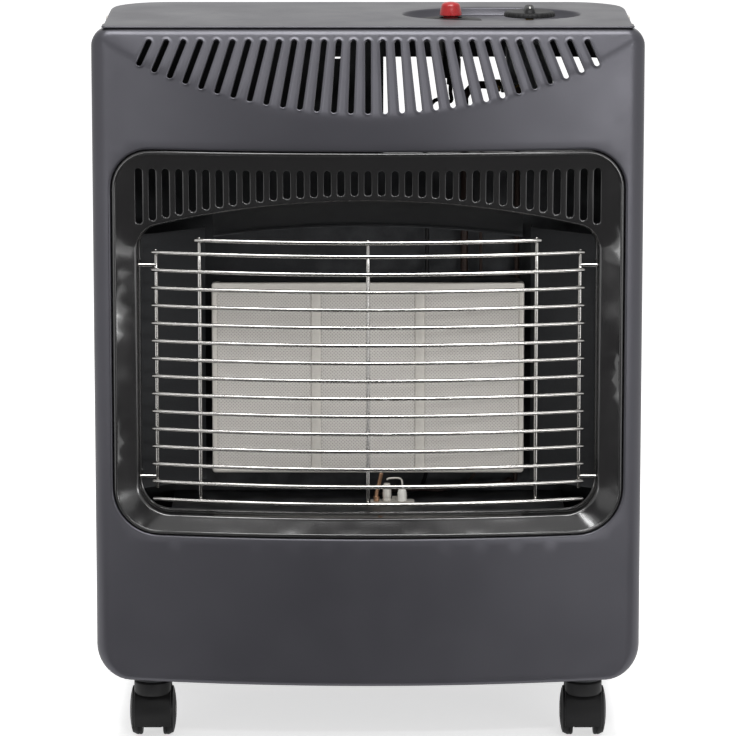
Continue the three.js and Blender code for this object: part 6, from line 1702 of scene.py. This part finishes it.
class BurnerSettings(bpy.types.PropertyGroup):
    """Burner plaques and their frame."""
    frame_roll: bpy.props.FloatProperty(
        name="Frame roll", description="Radius of the frame's edges", default=1.4 * MM, unit="LENGTH")
    plaque_edge: bpy.props.FloatProperty(
        name="Plaque edge", description="Rounding of the plaques' edges", default=0.8 * MM, unit="LENGTH")


PLAQUES = ("left_plaque", "centre_plaque", "right_plaque")


class HEATER_OT_burner(bpy.types.Operator):
    """Make the perforated plaques and their pressed frame"""
    bl_idname = "heater.burner"
    bl_label = "Burner"

    def execute(self, context):
        settings = context.scene.heater_burner
        for name in PLAQUES:
            low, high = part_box(name)
            shell = Shell()
            outline = rounded_outline(low[0], low[2], high[0], high[2], 1.2 * MM, 4)
            edge = settings.plaque_edge
            rows = [[(u, high[1], v) for u, v in outline]]
            for a in reversed(quarter(4)):
                rows.append(
                    [
                        (u, low[1] + edge * (1 - math.cos(a)), v) for u,
                        v in inset(outline, edge * (1 - math.sin(a)))])
            indices = shell.rings(rows)
            shell.faces.append(tuple(indices[0]))
            shell.skin(inset(outline, edge), [], lambda p: (p[0], low[1], p[1]), 15 * MM, [indices[-1]])
            finish_piece(shell, "perforated_" + name, "cabinet", "ceramic", [name])
        self.frame_plate(settings)
        return {"FINISHED"}

    def frame_plate(self, settings):
        low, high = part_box("burner_frame")
        shell = Shell()
        outline = even(rounded_outline(low[0], low[2], high[0], high[2], 2.5 * MM, 5), 12 * MM)
        holes, rings = [], []
        for name in PLAQUES:
            a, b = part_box(name)
            lap, roll = 1.0 * MM, 0.9 * MM
            hole = rounded_outline(a[0] + lap, a[2] + lap, b[0] - lap, b[2] - lap, 1.5 * MM, 4)
            hole = even(hole, 10 * MM)
            rows = []
            for angle in quarter(4):
                sunk = roll * (1 - math.cos(angle))
                rows.append([(u, low[1] + sunk, v) for u, v in inset(hole, -roll * (1 - math.sin(angle)))])
            rings.append(shell.rings(rows)[0])
            holes.append(inset(hole, -roll))
        pressed_sheet(
            shell, outline, settings.frame_roll, 6 * MM, lambda u, v, d: (u, low[1] + d, v), 12 * MM,
            holes, rings)
        frame_piece = shell.piece("pressed_burner_frame", "cabinet", 0.6 * MM, (0, -1, 0))
        dress(frame_piece, "bright_steel")
        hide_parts("burner_frame")
        return {"FINISHED"}


class HEATER_OT_reflectors(bpy.types.Operator):
    """Make the flue hood and the reflectors beside the burner"""
    bl_idname = "heater.reflectors"
    bl_label = "Reflectors and flue hood"

    def execute(self, context):
        self.hood()
        for name, side in (("left_reflector", -1), ("right_reflector", 1)):
            self.side_wall(name, side)
        return {"FINISHED"}

    def hood(self):
        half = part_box("flue_hood")[1][0]
        lip_arch, lip_height = 778 * MM, WINDOW_HIGH - 24.5 * MM
        start, end = WINDOW_WALL + 0.3 * MM, 60 * MM
        lip = lambda x: lip_height - lip_arch + math.sqrt(lip_arch ** 2 - x ** 2)
        shell = Shell()
        rows = []
        for v in np.linspace(0, 1, 14):
            row = []
            for x in np.linspace(-half, half, 49):
                z = window_arch(x) + (lip(x) - window_arch(x)) * v ** 1.5 + 0.4 * MM
                row.append((x, behind(bow(x) + start + (end - start) * v), z))
            rows.append(row)
        for k in range(1, 9):
            a = math.radians(25 * k)
            row = []
            for x in np.linspace(-half, half, 49):
                out = 1.5 * MM * math.sin(a)
                row.append((x, behind(bow(x) + end) + out, lip(x) + 0.4 * MM - 1.5 * MM * (1 - math.cos(a))))
            rows.append(row)
        shell.rings(rows, closed=False)
        hood = shell.piece("curved_flue_hood", "cabinet", 0.8 * MM, (0, 0, -1))
        dress(hood, "dark_steel")
        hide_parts("flue_hood")

    def side_wall(self, name, side):
        low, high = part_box(name)
        outer_x = WINDOW_HALF + 1.5 * MM
        outer_y = behind(bow(outer_x) + WINDOW_WALL + 0.3 * MM)
        inner_x, inner_y = 126 * MM, behind(82 * MM)
        path = []
        for t in np.linspace(0, 1, 18):
            bend = (outer_x - 12 * MM, outer_y + 7 * MM)
            x = (outer_x - 0.6 * MM) * (1 - t) ** 2 + 2 * bend[0] * t * (1 - t) + inner_x * t ** 2
            y = (outer_y + 0.2 * MM) * (1 - t) ** 2 + 2 * bend[1] * t * (1 - t) + inner_y * t ** 2
            path.append((x, y))
        path += [(inner_x + 0.3 * MM, inner_y + 1.5 * MM), (inner_x + 0.5 * MM, inner_y + 12 * MM)]
        shell = Shell()
        levels = [low[2], low[2] + 1 * MM, low[2] + 2 * MM]
        levels += list(np.linspace(low[2] + 12 * MM, high[2] - 12 * MM, 8))
        levels += [high[2] - 2 * MM, high[2] - 1 * MM, high[2]]
        rows = []
        for z in levels:
            edge = min(z - low[2], high[2] - z)
            curl = 0.6 * MM * max(0, 1 - edge / (2 * MM))
            rows.append([(side * x, y - curl, z) for x, y in path])
        shell.rings(rows, closed=False)
        wall = shell.piece("curved_" + name, "cabinet", 0.8 * MM, (-side, -1, 0))
        dress(wall, "dark_steel")
        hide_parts(name)


class HEATER_OT_pilot(bpy.types.Operator):
    """Make the pilot burner, thermocouple and ignition electrode"""
    bl_idname = "heater.pilot"
    bl_label = "Pilot group"

    def execute(self, context):
        m = MM
        y, seat = behind(65 * m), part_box("pilot_burner")[0][2]
        shell = Shell()
        profile = [
            (0, 0), (3.0, 0), (3.4, 0.4), (3.4, 2.2), (3.0, 2.5), (3.0, 3.1), (3.4, 3.4), (3.4, 9),
            (2.7, 10), (2.6, 13.4), (2.2, 14), (1.5, 14), (1.4, 12.5), (0, 12.5)]
        lathe(shell, [(r * m, seat + z * m) for r, z in profile], (14.7 * m, y, 0), "Z", 32)
        lathe(
            shell, [(0, 0), (2.6 * m, 0), (2.6 * m, 3.3 * m), (2.3 * m, 3.6 * m), (0, 3.6 * m)],
            (14.7 * m, y, seat + 7 * m), "Y", 24)
        finish_piece(shell, "turned_pilot_burner", "cabinet", "bright_steel", ["pilot_burner"])
        shell = Shell()
        x = 6.5 * m
        tube(
            shell,
            smooth_path(
                [
                    (x, y, seat), (x, y, seat + 5 * m), (x + 1.6 * m, y, seat + 12 * m),
                    (x + 3.8 * m, y - 1 * m, seat + 22 * m)],
                5),
            1.5 * m, 16)
        lathe(
            shell,
            [(0, 0), (2.1 * m, 0), (2.4 * m, 0.3 * m), (2.4 * m, 3.7 * m), (2.1 * m, 4 * m), (0, 4 * m)],
            (x, y, seat), "Z", 24)
        finish_piece(shell, "drawn_thermocouple", "cabinet", "copper", ["thermocouple"])
        shell = Shell()
        x = 26.5 * m
        lathe(
            shell,
            [
                (0, 0), (3.3 * m, 0), (3.6 * m, 0.3 * m), (3.6 * m, 6.6 * m), (3.2 * m, 8.4 * m),
                (2.4 * m, 9.6 * m), (1.4 * m, 10 * m), (0, 10 * m)],
            (x, y, seat), "Z", 28)
        finish_piece(shell, "glazed_insulator", "cabinet", "glazed_ceramic", [])
        wire = Shell()
        top = seat + 18 * m
        tube(
            wire,
            smooth_path(
                [
                    (x, y, seat + 9 * m), (x, y, top - 3 * m), (x - 2 * m, y, top), (16.7 * m, y, top),
                    (14.7 * m, y, top - 1 * m)],
                5),
            0.7 * m, 10)
        finish_piece(wire, "ignition_electrode_wire", "cabinet", "bright_steel", ["ignition_electrode"])
        return {"FINISHED"}

# ---- Stage ----

class StageSettings(bpy.types.PropertyGroup):
    """Studio, lights and camera."""
    floor_tone: bpy.props.FloatProperty(
        name="Floor tone", description="Brightness of the pale floor", default=0.9, min=0, max=1,
        subtype="FACTOR")
    floor_size: bpy.props.FloatProperty(
        name="Floor size", description="Width of the floor", default=30.0, unit="LENGTH")
    floor_glow: bpy.props.FloatProperty(
        name="Floor glow", description="Light that the camera and mirrors see in the floor", default=0.62,
        min=0, max=1)
    room_level: bpy.props.FloatProperty(
        name="Room level", description="Strength of the soft light from all round", default=0.50, min=0,
        max=2)
    key_power: bpy.props.FloatProperty(
        name="Key light", description="Power of the large light above the front", default=44.0,
        unit="POWER")
    side_power: bpy.props.FloatProperty(
        name="Side lights", description="Power that each side light takes its share of", default=18.0,
        unit="POWER")
    strip_power: bpy.props.FloatProperty(
        name="Strip light",
        description="Power of the narrow light that draws the highlights on gloss edges", default=12.0,
        unit="POWER")
    edge_power: bpy.props.FloatProperty(
        name="Edge light", description="Power of the small light that catches the rolled top edge",
        default=7.0, unit="POWER")
    card_width: bpy.props.FloatProperty(
        name="Dark card width", description="Width of the dark card that gloss sees in front",
        default=1.7, unit="LENGTH")
    lens: bpy.props.FloatProperty(
        name="Lens", description="Focal length of the camera", default=237.8, unit="CAMERA")
    camera_pitch: bpy.props.FloatProperty(
        name="Camera pitch", description="How far the camera looks down", default=math.radians(10.4),
        subtype="ANGLE")
    camera_height: bpy.props.FloatProperty(
        name="Camera height", description="Camera above the floor", default=0.9695, unit="LENGTH")
    camera_distance: bpy.props.FloatProperty(
        name="Camera distance", description="Camera in front of the middle of the heater", default=3.829,
        unit="LENGTH")


LEFT_SHARE = 0.35  # shares of the side lights' power
RIGHT_SHARE = 1.1
FLOOR_GAP = 0.0002  # the floor lies this far below the wheels
GLOSS_SHARE = 0.6  # how white the surroundings are to gloss
SENSOR_WIDTH = 36.0
FARTHEST_VIEW = 100.0
CARD_NEAR, CARD_FAR = -0.24, -4.6  # front and rear end of the dark card
CARD_LOW, CARD_HIGH = 0.01, 11.0


class HEATER_OT_stage(bpy.types.Operator):
    """Make the floor, the lights, the world and the camera"""
    bl_idname = "heater.stage"
    bl_label = "Studio stage"

    def execute(self, context):
        settings = context.scene.heater_stage
        half = settings.floor_size / 2
        corners = [(-half, -half, 0), (half, -half, 0), (half, half, 0), (-half, half, 0)]
        floor = mesh_object("studio_floor", corners, [(0, 1, 2, 3)])
        floor.location.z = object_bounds()[0][2] - FLOOR_GAP
        floor.data.materials.append(floor_material(settings))
        floor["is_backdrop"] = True
        self.dark_card(settings)
        lamps = [  # name, place, target, size and power
            ("key_light", (0.0, -0.8, 2.9), (0, 0, 0.35), (1.7, 0.7), settings.key_power),
            ("left_light", (-1.8, -2.7, 0.32), (0, 0, 0.3), (1.0, 0.45), LEFT_SHARE * settings.side_power),
            ("right_light", (1.7, -2.8, 0.32), (0, 0, 0.3), (1.5, 0.45), RIGHT_SHARE * settings.side_power),
            ("edge_light", (0.0, -0.68, 1.42), (0, -0.19, 0.53), (0.9, 0.2), settings.edge_power),
            ("strip_light", (0.5, -2.6, 2.0), (0, 0, 0.45), (1.25, 0.08), settings.strip_power),
        ]
        for name, place, target, size, power in lamps:
            light = bpy.data.lights.new(name, "AREA")
            light.shape = "RECTANGLE"
            light.size, light.size_y = size
            light.energy = power
            lamp = bpy.data.objects.new(name, light)
            lamp.location = place
            lamp.visible_camera = False
            lamp.rotation_euler = (Vector(target) - Vector(place)).to_track_quat("-Z", "Y").to_euler()
            context.scene.collection.objects.link(lamp)
        context.scene.world = studio_world(settings.room_level)
        camera = bpy.data.cameras.new("photo_camera")
        camera.lens = settings.lens
        camera.sensor_width = SENSOR_WIDTH
        camera.clip_end = FARTHEST_VIEW
        stand = bpy.data.objects.new("photo_camera", camera)
        stand.location = (0, -settings.camera_distance, settings.camera_height)
        stand.rotation_euler = (math.pi / 2 - settings.camera_pitch, 0, 0)
        context.scene.collection.objects.link(stand)
        context.scene.camera = stand
        context.scene.view_settings.view_transform = "Standard"
        return {"FINISHED"}

    def dark_card(self, settings):
        """A dark card on the floor and upright in front. Only gloss sees it, which keeps gloss black dark."""
        half = settings.card_width / 2
        edges = ((CARD_NEAR, CARD_LOW), (CARD_FAR, CARD_LOW), (CARD_FAR, CARD_HIGH))
        places = [(x, y, z) for y, z in edges for x in (-half, half)]
        card = mesh_object("dark_card", places, [(0, 1, 3, 2), (2, 3, 5, 4)])
        material = bpy.data.materials.new("dark_card")
        material.use_nodes = True
        shader = material.node_tree.nodes["Principled BSDF"]
        shader.inputs["Base Color"].default_value = (0.02, 0.02, 0.02, 1)
        shader.inputs["Roughness"].default_value = 1.0
        card.data.materials.append(material)
        for kind in ("camera", "diffuse", "shadow", "transmission"):
            setattr(card, "visible_" + kind, False)
        card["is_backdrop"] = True


def rays_that_see_white(tree):
    """How white the surroundings are: 1 for camera and transmission rays, less for glossy, 0 for others."""
    path = node(tree, "LightPath")
    clear = combined(tree, "MAXIMUM", path.outputs["Is Camera Ray"], path.outputs["Is Transmission Ray"])
    gloss = combined(tree, "MULTIPLY", path.outputs["Is Glossy Ray"], GLOSS_SHARE)
    return combined(tree, "MAXIMUM", clear, gloss)


def floor_material(settings):
    """Pale floor that the camera and mirrors see as white, with the object's soft shadow."""
    material = bpy.data.materials.new("studio_floor")
    material.use_nodes = True
    tree = material.node_tree
    shader = tree.nodes["Principled BSDF"]
    tone = settings.floor_tone
    shader.inputs["Base Color"].default_value = (tone, tone, tone, 1)
    shader.inputs["Roughness"].default_value = 0.9
    shader.inputs["Specular IOR Level"].default_value = 0.1
    shader.inputs["Emission Color"].default_value = (1, 1, 1, 1)
    glow = combined(tree, "MULTIPLY", rays_that_see_white(tree), settings.floor_glow)
    tree.links.new(glow, shader.inputs["Emission Strength"])
    return material


def studio_world(level):
    """White for the camera, a duller white for gloss and a plain soft light for everything else."""
    world = bpy.data.worlds.new("studio_world")
    world.use_nodes = True
    tree = world.node_tree
    tree.nodes["Background"].inputs["Color"].default_value = (1, 1, 1, 1)
    strength = node(tree, "MapRange", {"Value": rays_that_see_white(tree), "To Min": level, "To Max": 1.0})
    tree.links.new(strength.outputs["Result"], tree.nodes["Background"].inputs["Strength"])
    return world

# ---- Panel and registration ----

OPERATORS = (
    HEATER_OT_finishes, HEATER_OT_front_panel, HEATER_OT_surround, HEATER_OT_guard, HEATER_OT_top,
    HEATER_OT_sides, HEATER_OT_base, HEATER_OT_cover, HEATER_OT_casters, HEATER_OT_controls,
    HEATER_OT_gas_parts, HEATER_OT_burner, HEATER_OT_reflectors, HEATER_OT_pilot, HEATER_OT_fasteners,
    HEATER_OT_stage,
)


class HEATER_PT_panel(bpy.types.Panel):
    """Lists the heater's pieces in the sidebar"""
    bl_label = "Gas cabinet heater"
    bl_idname = "HEATER_PT_panel"
    bl_space_type = "VIEW_3D"
    bl_region_type = "UI"
    bl_category = "Heater"

    def draw(self, context):
        for operator in OPERATORS:
            self.layout.operator(operator.bl_idname, text=operator.bl_label)


GROUPS = (
    ("heater_stage", StageSettings),
    ("heater_finishes", FinishSettings),
    ("heater_front", FrontSettings),
    ("heater_surround", SurroundSettings),
    ("heater_guard", GuardSettings),
    ("heater_cabinet", CabinetSettings),
    ("heater_casters", CasterSettings),
    ("heater_controls", ControlSettings),
    ("heater_burner", BurnerSettings),
)
CLASSES = (*(group for _, group in GROUPS), *OPERATORS, HEATER_PT_panel)


def register():
    for item in CLASSES:
        bpy.utils.register_class(item)
    for name, group in GROUPS:
        setattr(bpy.types.Scene, name, bpy.props.PointerProperty(type=group))


def unregister():
    for name, _ in GROUPS:
        delattr(bpy.types.Scene, name)
    for item in reversed(CLASSES):
        bpy.utils.unregister_class(item)


def main():
    register()
    for operator in OPERATORS:
        group, name = operator.bl_idname.split(".")
        getattr(getattr(bpy.ops, group), name)()


if __name__ == "__main__":
    main()
